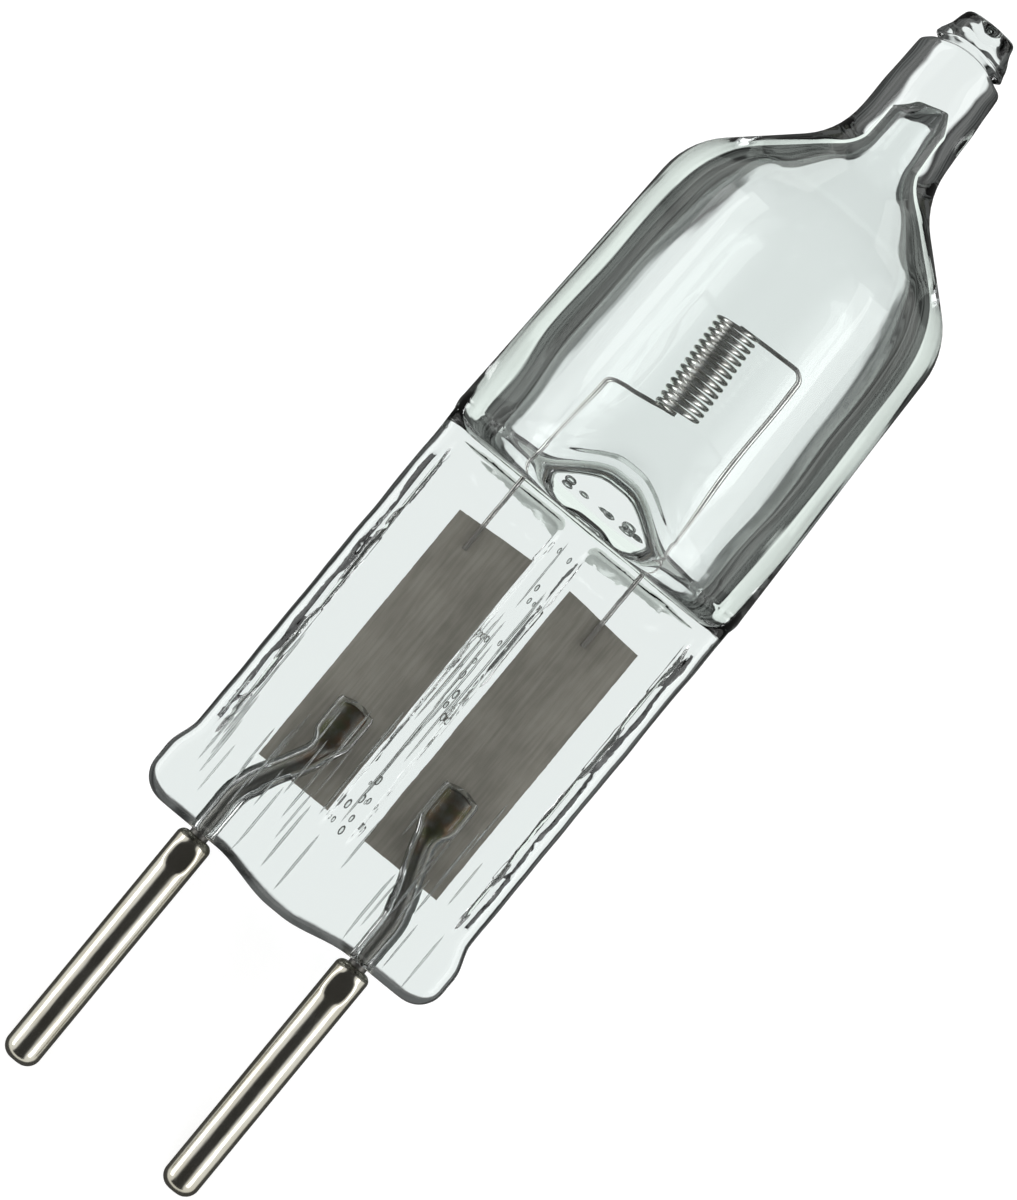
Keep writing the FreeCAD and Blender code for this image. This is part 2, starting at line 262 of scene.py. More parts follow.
def loft(rings: np.ndarray, foot: Closing, head: Closing) -> Shell:
    """Faces between rings that run anticlockwise about their direction of travel.

    Args:
        rings: points as rings by places by 3.
        foot: how the first ring is closed.
        head: how the last ring is closed.

    Returns:
        The shell, with its faces outwards.
    """
    rows, count = rings.shape[:2]
    points = [rings.reshape(-1, 3)]
    grid = np.arange(rows * count).reshape(rows, count)
    after = np.roll(grid, -1, axis=1)
    quads = np.stack([grid[:-1], after[:-1], after[1:], grid[1:]], axis=-1).reshape(-1, 4)
    faces = [tuple(quad) for quad in quads.tolist()]
    for closing, row, flip in ((foot, 0, True), (head, rows - 1, False)):
        if closing is Closing.POINT:
            tip = sum(len(block) for block in points)
            points.append(rings[row].mean(axis=0)[None])
            fan = [(int(a), int(b), tip) for a, b in zip(grid[row], after[row])]
            faces += [face[::-1] for face in fan] if flip else fan
    return Shell(np.vstack(points), faces)


@dataclass(frozen=True)
class Placement:
    """Lays the upright lamp down where the frame has it."""

    origin: Triple
    sine: float
    cosine: float

    @classmethod
    def from_mounts(cls, mounts: list[dict], mouth: float) -> "Placement":
        """Works the place out from the two contact pins.

        Args:
            mounts: the record's mounts.
            mouth: length along the axis from the pinch's foot to where a pin's straight wall starts.

        Returns:
            The placement.
        """
        pins = [mount for mount in mounts if mount["kind"] == "pin"]
        axis = np.mean([pin["axis"] for pin in pins], axis=0)
        centre = np.mean([pin["pos_m"] for pin in pins], axis=0)
        reach = (mouth + pins[0]["dims"]["length_mm"] / 2) * MM
        return cls(tuple(centre - axis * reach), float(-axis[2]), float(-axis[1]))

    def __call__(self, points: np.ndarray) -> np.ndarray:
        """Places in the frame, in metres, of upright points in millimetres."""
        x, y, z = (np.asarray(points, float) * MM).T
        laid = np.stack([x, y * self.sine + z * self.cosine, z * self.sine - y * self.cosine], axis=1)
        return laid + np.array(self.origin)

    def spot(self, point: Triple) -> Vector:
        """Place in the frame, in metres, of one upright point in millimetres."""
        return Vector(self(np.array([point]))[0])

    def direction(self, vector: Triple) -> Vector:
        """An upright direction as it lies in the frame."""
        x, y, z = vector
        return Vector((x, y * self.sine + z * self.cosine, z * self.sine - y * self.cosine))


def added(name: str, data: bpy.types.ID) -> bpy.types.Object:
    """A new object of the scene."""
    obj = bpy.data.objects.new(name, data)
    bpy.context.scene.collection.objects.link(obj)
    return obj


def object_from(shell: Shell, name: str, place: Placement, sharp: float = 35.0) -> bpy.types.Object:
    """A shown object whose mesh lies in the frame.

    Args:
        shell: upright points and faces.
        name: the object's name.
        place: where the lamp lies.
        sharp: edges that turn by more degrees than this stay sharp.

    Returns:
        The object, at the origin.
    """
    mesh = bpy.data.meshes.new(name)
    mesh.from_pydata(place(shell.points).tolist(), [], shell.faces)
    mesh.shade_smooth()
    mesh.set_sharp_from_angle(angle=math.radians(sharp))
    mesh.validate()
    mesh.update()
    return added(name, mesh)


def bring_in(obj: bpy.types.Object, material: bpy.types.Material, slot: str, *nodes: str) -> None:
    """Gives a finished piece its material and its body, and hides the nodes that it stands for.

    Args:
        obj: the piece.
        material: its material.
        slot: the record's material slot whose finish it takes; not used.
        nodes: names of the nodes that it stands for.
    """
    obj.data.materials.clear()
    obj.data.materials.append(material)
    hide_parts(*nodes)
    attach(obj, "root")
    LOG.info("%s: %d faces, stands for %s", obj.name, len(obj.data.polygons), ", ".join(nodes))


# Node trees


class Value:
    """One output socket in a node tree, with the arithmetic that a finish needs."""

    def __init__(self, graph: "Graph", socket: bpy.types.NodeSocket) -> None:
        """Takes a socket of a graph's tree."""
        self.graph = graph
        self.socket = socket

    def out(self, name: str) -> "Value":
        """Another output of the same node."""
        return Value(self.graph, next(s for s in self.socket.node.outputs if s.name == name and s.enabled))

    def __add__(self, other: "Value | float") -> "Value":
        """Sum."""
        return self.graph.maths("ADD", self, other)

    def __radd__(self, other: float) -> "Value":
        """Sum, with the number first."""
        return self.graph.maths("ADD", other, self)

    def __rsub__(self, other: float) -> "Value":
        """Difference from a number."""
        return self.graph.maths("SUBTRACT", other, self)

    def __mul__(self, other: "Value | float") -> "Value":
        """Product."""
        return self.graph.maths("MULTIPLY", self, other)

    def __rmul__(self, other: float) -> "Value":
        """Product, with the number first."""
        return self.graph.maths("MULTIPLY", other, self)

    def __truediv__(self, other: "Value | float") -> "Value":
        """Quotient."""
        return self.graph.maths("DIVIDE", self, other)

    def __gt__(self, other: "Value | float") -> "Value":
        """1 where this is larger, or else 0."""
        return self.graph.maths("GREATER_THAN", self, other)

    def between(self, low: float, high: float) -> "Value":
        """Rises gently from 0 at low to 1 at high."""
        inputs = {"Value": self, "From Min": low, "From Max": high}
        return self.graph.node("ShaderNodeMapRange", {"interpolation_type": "SMOOTHSTEP"}, inputs)


class Graph:
    """Builds one node tree."""

    def __init__(self, tree: bpy.types.NodeTree) -> None:
        """Takes the tree that it adds to."""
        self.tree = tree

    def node(self, kind: str, settings: dict | None = None, inputs: dict | None = None) -> Value | None:
        """Adds a node.

        Args:
            kind: the node's type.
            settings: its own properties, which are set first.
            inputs: values or links of its sockets, by name or by number.

        Returns:
            Its first enabled output, or None if it has none.
        """
        node = self.tree.nodes.new(kind)
        for key, value in (settings or {}).items():
            setattr(node, key, value)
        for key, value in (inputs or {}).items():
            self.feed(self.socket(node, key), value)
        outputs = [s for s in node.outputs if s.enabled]
        return Value(self, outputs[0]) if outputs else None

    @staticmethod
    def socket(node: bpy.types.Node, key: str | int) -> bpy.types.NodeSocket:
        """An input by its number, or by its name among those in use."""
        if isinstance(key, int):
            return node.inputs[key]
        return next(s for s in node.inputs if s.name == key and s.enabled)

    def feed(self, socket: bpy.types.NodeSocket, value: object) -> None:
        """Links a value to a socket, or several, or sets the socket's own number or colour.

        Args:
            socket: the input.
            value: one output, a list of outputs, or a plain number, colour or name.
        """
        if isinstance(value, Value):
            self.tree.links.new(value.socket, socket)
        elif isinstance(value, list):
            for one in value:
                self.tree.links.new(one.socket, socket)
        elif socket.type == "RGBA" and len(value) == 3:
            socket.default_value = (*value, 1.0)
        else:
            socket.default_value = value

    def maths(self, operation: str, first: "Value | float", second: "Value | float") -> Value:
        """One step of arithmetic on numbers."""
        return self.node("ShaderNodeMath", {"operation": operation}, {0: first, 1: second})

    def vector(self, operation: str, first: object, second: object) -> Value:
        """One step of arithmetic on vectors."""
        return self.node("ShaderNodeVectorMath", {"operation": operation}, {0: first, 1: second})

    def dot(self, first: object, second: object) -> Value:
        """Dot product of two vectors."""
        return self.vector("DOT_PRODUCT", first, second).out("Value")

    def blend(self, share: Value, first: "Value | Colour", second: "Value | Colour") -> Value:
        """Goes from the first colour to the second as share goes from 0 to 1."""
        return self.node("ShaderNodeMix", {"data_type": "RGBA"}, {"Factor": share, "A": first, "B": second})


class Finish(Graph):
    """A material's tree, with the patterns that several finishes share."""

    def __init__(self, name: str) -> None:
        """Starts a material with an empty tree.

        Args:
            name: the material's name.
        """
        self.material = bpy.data.materials.new(name)
        self.material.use_nodes = True
        self.material.node_tree.nodes.clear()
        super().__init__(self.material.node_tree)
        self.place = self.node("ShaderNodeTexCoord").out("Object")

    def noise(self, size: float, detail: float = 2.0, stretch: Triple | None = None) -> Value:
        """Cloudy noise.

        Args:
            size: the clouds' size in millimetres.
            detail: how many finer layers it has.
            stretch: scale along the three axes.

        Returns:
            A value about 0.5.
        """
        place = self.place
        if stretch:
            place = self.vector("MULTIPLY", place, stretch)
        inputs = {"Vector": place, "Scale": 1 / (size * MM), "Detail": detail}
        return self.node("ShaderNodeTexNoise", {}, inputs)

    def along(self, place: "Placement") -> Value:
        """Height above the pinch's foot along the lamp's axis, in millimetres."""
        offset = self.vector("SUBTRACT", self.place, place.origin)
        return self.dot(offset, tuple(place.direction((0.0, 0.0, 1.0)))) / MM

    def bump(self, height: Value, depth: float, strength: float) -> Value:
        """Surface normal of a height pattern that is so many millimetres deep."""
        inputs = {"Strength": strength, "Distance": depth * MM, "Height": height}
        return self.node("ShaderNodeBump", {}, inputs)

    def surface(self, inputs: dict) -> Value:
        """The one shader of a plain surface."""
        return self.node("ShaderNodeBsdfPrincipled", {}, inputs)

    def glow(self, colour: Colour, strength: "Value | float") -> Value:
        """Light of one colour."""
        return self.node("ShaderNodeEmission", {}, {"Color": colour, "Strength": strength})

    def mix(self, share: Value, first: Value, second: Value) -> Value:
        """Goes from the first shader to the second as share goes from 0 to 1."""
        return self.node("ShaderNodeMixShader", {}, {0: share, 1: first, 2: second})

    def done(self, shader: Value) -> bpy.types.Material:
        """Ends the tree with its output."""
        self.node("ShaderNodeOutputMaterial", {}, {"Surface": shader})
        return self.material


class FormTree(Graph):
    """A Geometry Nodes tree with named inputs, which turns one object's mesh into another."""

    def __init__(self, name: str) -> None:
        """Starts a tree that takes and gives one geometry.

        Args:
            name: the tree's name.
        """
        tree = bpy.data.node_groups.new(name, "GeometryNodeTree")
        tree.interface.new_socket("Geometry", in_out="INPUT", socket_type="NodeSocketGeometry")
        tree.interface.new_socket("Geometry", in_out="OUTPUT", socket_type="NodeSocketGeometry")
        super().__init__(tree)
        self.entry = tree.nodes.new("NodeGroupInput")
        self.settings: dict[str, object] = {}

    def geometry(self) -> Value:
        """The mesh that the tree is given."""
        return Value(self, self.entry.outputs["Geometry"])

    def named(self, name: str, kind: str, value: object) -> Value:
        """Adds a named input and keeps the value that it gets."""
        socket = self.tree.interface.new_socket(name, in_out="INPUT", socket_type="NodeSocket" + kind)
        self.settings[socket.identifier] = value
        return Value(self, self.entry.outputs[name])

    def done(self, geometry: Value, material: Value) -> None:
        """Ends the tree: real meshes, with their material."""
        real = self.node("GeometryNodeRealizeInstances", {}, {"Geometry": geometry})
        dressed = self.node("GeometryNodeSetMaterial", {}, {"Geometry": real, "Material": material})
        self.tree.links.new(dressed.socket, self.tree.nodes.new("NodeGroupOutput").inputs[0])

    def grow(self, mesh: bpy.types.Mesh) -> Shell:
        """Runs the tree on a mesh and returns the plain shell that it makes.

        Args:
            mesh: what the tree works on, or an empty mesh.

        Returns:
            The shell, with the modifier applied and gone.
        """
        carrier = added(self.tree.name, mesh)
        modifier = carrier.modifiers.new(self.tree.name, "NODES")
        modifier.node_group = self.tree
        for identifier, value in self.settings.items():
            modifier[identifier] = value
        shell = worked_shell(carrier)
        bpy.data.objects.remove(carrier)
        return shell


def worked_shell(obj: bpy.types.Object) -> Shell:
    """The points and faces of an object with its modifiers applied.

    Args:
        obj: the object.

    Returns:
        Its shell, in its own coordinates.
    """
    graph = bpy.context.evaluated_depsgraph_get()
    graph.update()
    mesh = bpy.data.meshes.new_from_object(obj.evaluated_get(graph))
    points = np.zeros(len(mesh.vertices) * 3)
    mesh.vertices.foreach_get("co", points)
    return Shell(points.reshape(-1, 3), [tuple(face.vertices) for face in mesh.polygons])


# Finishes


@dataclass(frozen=True)
class Quartz:
    """Clear fused quartz: drawn and blown smooth on the bulb, pressed and uneven on the pinch."""

    tint: Colour = (0.925, 0.95, 0.943)
    lamp_tint: Colour = (0.93, 0.95, 0.945)
    index: float = 1.458
    pinch_height: float = 14.8
    pressed_fade: Pair = (-0.6, 0.4)
    pressed_size: float = 0.9
    blown_size: float = 4.5
    blown_share: float = 0.6
    ripple_depth: float = 0.05
    ripple_strength: float = 0.35

    def material(self, place: Placement) -> bpy.types.Material:
        """Clear glass with faint ripples, which lets the lamps through to what it shuts in.

        Args:
            place: where the lamp lies.

        Returns:
            The material.
        """
        finish = Finish("quartz")
        blown = finish.along(place).between(*stretch_at(self.pinch_height, self.pressed_fade))
        pressed = finish.noise(self.pressed_size, 3.0) * (1 - blown)
        ripple = pressed + finish.noise(self.blown_size, 1.0) * self.blown_share
        glass = finish.surface({
            "Base Color": self.tint,
            "Roughness": 0.0,
            "IOR": self.index,
            "Transmission Weight": 1.0,
            "Normal": finish.bump(ripple, self.ripple_depth, self.ripple_strength),
        })
        lamp = finish.node("ShaderNodeLightPath").out("Is Shadow Ray")
        clear = finish.node("ShaderNodeBsdfTransparent", {}, {"Color": self.lamp_tint})
        return finish.done(finish.mix(lamp, glass, clear))


@dataclass(frozen=True)
class Nickel:
    """Bright nickel with fine draw marks and a faint film of oxide."""

    base: Colour = (0.66, 0.64, 0.56)
    film: Colour = (0.56, 0.53, 0.44)
    film_size: float = 1.6
    film_range: Pair = (0.38, 0.72)
    roughness: float = 0.1
    wear: float = 0.14
    wear_size: float = 0.7
    grain_size: float = 0.12
    grain_stretch: Triple = (1.0, 0.12, 0.4)
    grain_depth: float = 0.006
    grain_strength: float = 0.6

    def material(self) -> bpy.types.Material:
        """Metal whose colour and polish vary in clouds, under a fine grain.

        Returns:
            The material.
        """
        finish = Finish("nickel")
        clouds = finish.noise(self.film_size, 3.0).between(*self.film_range)
        grain = finish.noise(self.grain_size, 2.0, self.grain_stretch)
        return finish.done(finish.surface({
            "Base Color": finish.blend(clouds, self.base, self.film),
            "Metallic": 1.0,
            "Roughness": self.roughness + finish.noise(self.wear_size) * self.wear,
            "Normal": finish.bump(grain, self.grain_depth, self.grain_strength),
        }))


@dataclass(frozen=True)
class Tungsten:
    """Drawn tungsten wire, bright in the bulb and dull where it is welded on the foil."""

    bright: Colour = (0.8, 0.79, 0.77)
    drawn: Colour = (0.6, 0.58, 0.55)
    dull: Colour = (0.2, 0.19, 0.175)
    weld_top: float = 12.95
    weld_fade: Pair = (-0.15, 0.1)
    cloud_size: float = 0.6
    cloud_range: Pair = (0.38, 0.7)
    dull_shine: float = 0.3
    dull_roughness: float = 0.6
    polish: float = 0.5
    wear: float = 0.06
    wear_size: float = 0.7
    grain_size: float = 0.12
    grain_depth: float = 0.004
    grain_strength: float = 0.5

    def material(self, place: Placement) -> bpy.types.Material:
        """Shiny metal in clouds of two tones, which turns dull below the foil's head.

        Args:
            place: where the lamp lies.

        Returns:
            The material.
        """
        finish = Finish("tungsten")
        clear = finish.along(place).between(*stretch_at(self.weld_top, self.weld_fade))
        clouds = finish.noise(self.cloud_size, 3.0).between(*self.cloud_range)
        wire = finish.blend(clouds, self.bright, self.drawn)
        wear = finish.noise(self.wear_size) * self.wear
        return finish.done(finish.surface({
            "Base Color": finish.blend(clear, self.dull, wire),
            "Metallic": self.dull_shine + clear * (1 - self.dull_shine),
            "Roughness": self.dull_roughness - clear * self.polish + wear,
            "Normal": finish.bump(finish.noise(self.grain_size), self.grain_depth, self.grain_strength),
        }))


@dataclass(frozen=True)
class HeatTintWithPaintedReflection:
    """Molybdenum wire, grey with brown heat tints near the weld and olive patches there that are a painted
    reflection.
    """

    base: Colour = (0.15, 0.145, 0.135)
    brown: Colour = (0.12, 0.075, 0.045)
    # the olive colour is a painted reflection, not a tint of the metal
    olive_reflection: Colour = (0.085, 0.085, 0.045)
    tint_start: float = 2.4
    tint_end: float = 4.6
    tint_size: float = 0.5
    tint_range: Pair = (0.3, 0.62)
    hue_size: float = 0.8
    hue_range: Pair = (0.42, 0.6)
    shine: float = 0.9
    roughness: float = 0.3
    wear: float = 0.22
    wear_size: float = 0.4
    grain_size: float = 0.22
    grain_depth: float = 0.02
    grain_strength: float = 0.6

    def material(self, place: Placement) -> bpy.types.Material:
        """Metal that darkens along the wire towards its flattened end, in patches of brown heat tint mixed
        with olive, which is a painted reflection.

        Args:
            place: where the lamp lies.

        Returns:
            The material.
        """
        finish = Finish("molybdenum_wire")
        patches = finish.noise(self.tint_size, 3.0).between(*self.tint_range)
        # where the brown heat tint and the painted olive reflection go, darker towards the flattened end
        tint_and_reflection_mask = finish.along(place).between(self.tint_start, self.tint_end) * patches
        # brown is real heat tint; olive is a painted reflection, mixed in random patches
        tint_and_reflection_colour = finish.blend(finish.noise(self.hue_size).between(*self.hue_range), self.brown, self.olive_reflection)
        grain = finish.noise(self.grain_size, 3.0)
        return finish.done(finish.surface({
            "Base Color": finish.blend(tint_and_reflection_mask, self.base, tint_and_reflection_colour),
            "Metallic": self.shine,
            "Roughness": self.roughness + finish.noise(self.wear_size) * self.wear,
            "Normal": finish.bump(grain, self.grain_depth, self.grain_strength),
        }))


@dataclass(frozen=True)
class Foil:
    """Thin rolled molybdenum, dull and a warm grey, wetted by the quartz."""

    base: Colour = (0.215, 0.2, 0.172)
    light: Colour = (0.33, 0.31, 0.27)
    mark_size: float = 0.12
    mark_stretch: Triple = (1.0, 0.06, 0.2)
    mark_depth: float = 0.008
    mark_strength: float = 0.5
    cloud_size: float = 1.4
    tone_share: float = 0.6
    tone_range: Pair = (0.35, 0.85)
    shine: float = 0.25
    roughness: float = 0.5
    wear: float = 0.15

    def material(self) -> bpy.types.Material:
        """Dull metal with rolling marks along the foil and faint cloudy patches.

        Returns:
            The material.
        """
        finish = Finish("molybdenum_foil")
        rolled = finish.noise(self.mark_size, 3.0, self.mark_stretch)
        clouds = finish.noise(self.cloud_size, 3.0)
        tone = ((rolled + clouds) * self.tone_share).between(*self.tone_range)
        return finish.done(finish.surface({
            "Base Color": finish.blend(tone, self.base, self.light),
            "Metallic": self.shine,
            "Roughness": self.roughness + clouds * self.wear,
            "Normal": finish.bump(rolled, self.mark_depth, self.mark_strength),
        }))


# The lamp's pieces


@dataclass
class QuartzEnvelope:
    """Bulb, neck, melted tip and pinch: one piece of quartz round a sealed gas space."""

    # bulb
    bulb_foot_radius: float = 5.58
    bulb_head_radius: float = 5.2
    bulb_length: float = 11.35
    bulb_wall: float = 1.3
    foot_round: float = 0.7
    foot_slope: float = 0.02
    shoulder_round: float = 2.8
    shoulder_length: float = 3.2
    shoulder_wall: float = 1.62
    shoulder_ends: Pair = (-2.2, 0.8)
    # gas space
    floor_thickness: float = 0.34
    floor_round: float = 0.61
    floor_side_share: float = 0.5
    floor_dip: float = 0.04
    fold_height: float = 0.95
    fold_depth: float = 0.014
    fold_width: float = 0.13
    side_inset: float = 0.32
    depth_inset: float = 0.52
    flare_top: float = 18.9
    mound_height: float = 1.17
    mound_half: float = 2.4
    mound_flat: float = 0.2
    mound_reach: float = 3.7
    ridge_depth: float = 0.003
    gas_waves: Waves = Waves(0.012, 4.0, 21)
    # neck and bore
    neck_radius: float = 1.72
    neck_round: float = 2.6
    neck_length: float = 3.95
    neck_taper: float = 0.1
    neck_wall: float = 0.88
    neck_ends: Pair = (-1.2, 0.3)
    bore_foot: float = 0.2
    bore_margin: float = 1.6
    bore_end_radius: float = 0.66
    bore_end_taper: float = 0.62
    bore_end_round: float = 0.3
    bore_end_share: float = 0.55
    bore_top_round: float = 0.14
    bore_shift: float = 0.08
    bore_slant: float = 0.44
    bore_slant_start: float = 1.4
    # melted tip
    rim_round: float = 0.25
    rim_step: float = 0.42
    rim_lift: float = 0.42
    rim_lift_start: float = 1.2
    groove_height: float = 0.32
    groove_round: float = 0.04
    groove_lip: float = 0.45
    lip_round: float = 0.1
    tip_length: float = 1.55
    tip_radius: float = 1.0
    tip_round: float = 0.28
    tip_face: float = 0.7
    tip_dimple: float = 0.45
    tip_drift: float = 0.14
    drift_start: float = 2.0
    tip_waves: Waves = Waves(0.16, 0.8, 14)
    tip_fade: float = 0.3
    # pinch
    pinch_half: float = 5.48
    pinch_height: float = 14.8
    pinch_depth: float = 1.7
    junction: float = 0.14
    joint_inset: float = 0.4
    joint_round: float = 0.12
    edge_blend: float = 0.715
    foot_edge: float = 0.8
    corner_round: float = 0.95
    ear_proud: float = 0.29
    ear_height: float = 1.75
    ear_fade: Pair = (-0.25, 0.95)
    heel_depth: float = 0.39
    heel_half: float = 2.7
    heel_shift: float = 0.1
    heel_flat: float = 0.1
    heel_reach: float = 1.5
    slab_reach: float = 3.0
    slab_narrowing: float = 2.0
    # panels
    panel_depth: float = 0.22
    panel_foot: float = 2.3
    panel_foot_fade: Pair = (-0.1, 1.1)
    panel_margin: float = 0.2
    panel_corner: float = 0.4
    panel_edge: Pair = (-0.14, 0.02)
    panel_top_run: float = 1.3
    panel_top_share: float = 0.86
    panel_waves: Waves = Waves(0.05, 1.1, 15)
    side_rim: float = 0.62
    centre_rib: float = 0.92
    # room round a lead
    capillary_gap: float = 0.12
    funnel_radius: float = 0.85
    funnel_depth: float = 0.45
    # unevenness
    blown_waves: Waves = Waves(0.02, 5.0, 11)
    pressed_waves: Waves = Waves(0.03, 1.7, 12)
    melted_waves: Waves = Waves(0.05, 1.3, 13)
    melting: float = 1.5
    melted_start: float = 1.5
    pressed_fade: Pair = (-1.0, 2.0)
    wave_girth: float = 0.4
    ridges: tuple[Pair, ...] = ((9, 0.7), (23, 2.0), (41, 0.0))
    # mesh
    quarter: int = 55
    gas_quarter: int = 42
    crease: float = 0.5
    axis_gap: float = 0.05
    bore_gap: float = 0.03
    thin: float = 0.02
    smallest_inset: float = 0.06
    inset_rows: int = 9
    corner_rows: int = 12
    pinch_rows: int = 66
    pinch_crowding: Pair = (3.5, 0.3)
    around_crowding: Pair = (2.2, 0.25)
    around_fade: Pair = (-0.2, 2.0)
    ear_middle: float = 0.3
    gas_rows: int = 84
    gas_crowding: Pair = (4.0, 0.4)
    fillet_rows: int = 14
    fillet_start: float = 4.0
    profile_step: float = 0.19
    foot_step: float = 0.16
    bore_step: float = 0.15
    foot_detail: float = 2.5
    wall_window: int = 17

    @property
    def floor_z(self) -> float:
        """Height of the gas space's floor."""
        return self.pinch_height + self.floor_thickness

    @property
    def shoulder_z(self) -> float:
        """Height where bulb and shoulder would meet."""
        return self.pinch_height + self.bulb_length

    @property
    def neck_z(self) -> float:
        """Height where shoulder and neck would meet."""
        return self.shoulder_z + self.shoulder_length

    @property
    def rim_z(self) -> float:
        """Height of the rim where the exhaust tube was melted off."""
        return self.neck_z + self.neck_length

    @property
    def tip_z(self) -> float:
        """Height of the tip's end."""
        return self.rim_z + self.tip_length

    def drift(self, z: np.ndarray) -> np.ndarray:
        """How far neck and tip lean aside at each height."""
        return self.tip_drift * smooth_step(self.neck_z - self.drift_start, self.tip_z, z)

    def bulb_line(self) -> np.ndarray:
        """The bulb's profile from the edge of its flat foot to the tip, as radius and height.

        Returns:
            The points from foot to tip, as rows.
        """
        foot_z = self.pinch_height + self.foot_slope
        rim_radius = self.neck_radius - self.neck_taper
        line = rounded_line([
            ((self.bulb_foot_radius - self.foot_round, foot_z), 0),
            ((self.bulb_foot_radius, foot_z), self.foot_round),
            ((self.bulb_head_radius, self.shoulder_z), self.shoulder_round),
            ((self.neck_radius, self.neck_z), self.neck_round),
            ((rim_radius, self.rim_z), self.rim_round),
            ((rim_radius - self.rim_step, self.rim_z + self.groove_height / 2), self.groove_round),
            ((rim_radius - self.rim_step * self.groove_lip, self.rim_z + self.groove_height),
             self.lip_round),
            ((self.tip_radius, self.tip_z), self.tip_round),
            ((self.tip_radius * self.tip_face, self.tip_z), self.lip_round),
            ((self.axis_gap, self.tip_z - self.tip_dimple), 0),
        ], self.profile_step)
        straight = line[:, 1] < self.shoulder_z - self.shoulder_round
        low = line[:, 1] < self.pinch_height + self.foot_detail
        keep = ~straight | low | (np.arange(len(line)) % 2 == 0)
        return line[keep][1:]

    def outer_rows(self) -> np.ndarray:
        """The sections of the whole outside, from the pinch's foot to the melted tip.

        Returns:
            For each ring its height, the slab's half width, half depth and edge rounding, and the
            disc's half depth and radius.
        """
        deepest = self.pinch_depth - self.foot_edge - self.thin
        inset = np.linspace(deepest, self.smallest_inset, self.inset_rows)
        turn = np.radians(np.linspace(0, 90, self.corner_rows + 1)[1:])
        under = self.pinch_height - self.junction
        spots = [self.ear_height + self.ear_middle, self.panel_foot, self.pinch_height - self.panel_margin]
        pinch_z = crowded(self.corner_round, under, self.pinch_rows, spots, *self.pinch_crowding)
        joint = self.pinch_depth - self.joint_inset
        foot = rounded_line([
            ((joint, under), 0),
            ((joint, self.pinch_height), self.joint_round),
            ((self.bulb_foot_radius - self.foot_round, self.pinch_height + self.foot_slope), 0),
        ], self.foot_step)[1:]
        bulb = self.bulb_line()
        corner_z = self.corner_round * (1 - np.cos(turn))
        heights = np.concatenate([np.zeros(len(inset)), corner_z, pinch_z[1:], foot[:, 1], bulb[:, 1]])
        edge_drop = np.clip(self.foot_edge - heights, 0, None)
        corner_drop = np.clip(self.corner_round - heights, 0, None)
        depth = self.pinch_depth - self.foot_edge + np.sqrt(self.foot_edge ** 2 - edge_drop ** 2)
        above = smooth_step(*stretch_at(self.ear_height, self.ear_fade), heights)
        ear = self.ear_proud * (1 - above)
        half = self.pinch_half + ear - self.corner_round + np.sqrt(self.corner_round ** 2 - corner_drop ** 2)
        depth[: len(inset)] -= inset
        half[: len(inset)] -= inset
        slab_top = self.pinch_height + self.slab_reach
        half -= self.slab_narrowing * smooth_step(self.pinch_height + self.foot_round, slab_top, heights)
        cap = np.full_like(heights, self.axis_gap)
        radius = np.full_like(heights, self.bulb_foot_radius - self.foot_round)
        cap[-len(bulb) - len(foot): -len(bulb)] = foot[:, 0]
        cap[-len(bulb):] = 2 * self.bulb_foot_radius
        radius[-len(bulb):] = bulb[:, 0]
        depth = np.where(heights > slab_top, self.thin, depth)
        half = np.where(heights > slab_top, self.thin, half)
        return np.stack([heights, half, depth, np.minimum(self.edge_blend, depth), cap, radius], axis=1)

    def outer_skin(self) -> Shell:
        """The whole outside, from the pinch's foot to the melted tip.

        Returns:
            A closed shell in upright millimetres.
        """
        rows = self.outer_rows()
        outline = self.pinch_depth + self.pinch_half
        spots = [self.pinch_depth, self.pinch_depth + self.side_rim, outline - self.centre_rib / 2]
        pinch_shares = crowded(0, outline, self.quarter + 1, spots, *self.around_crowding) / outline
        even = np.linspace(0, 1, self.quarter + 1)
        bulb_share = smooth_step(*stretch_at(self.pinch_height, self.around_fade), rows[:, 0])
        shares = pinch_shares + np.outer(bulb_share, even - pinch_shares)
        _, half, depth, edge, cap, radius = (column[:, None] for column in rows.T)

        def distance(x: np.ndarray, y: np.ndarray) -> np.ndarray:
            """From the outline of the pinch's slab joined with the bulb's disc."""
            slab = smooth_max(y - depth, x - half, edge)
            return smooth_min(slab, smooth_max(y - cap, np.hypot(x, y) - radius, self.crease), self.junction)

        reach_x = np.maximum(half, radius)[:, 0]
        reach_y = np.maximum(depth, np.minimum(cap, radius))[:, 0]
        rings = outlines(distance, reach_x, reach_y, rows[:, 0], shares)
        seam = rings[:1] * np.array([1.0, 0.0, 1.0])
        return self.worked(loft(np.concatenate([seam, rings]), Closing.SEAM, Closing.POINT))

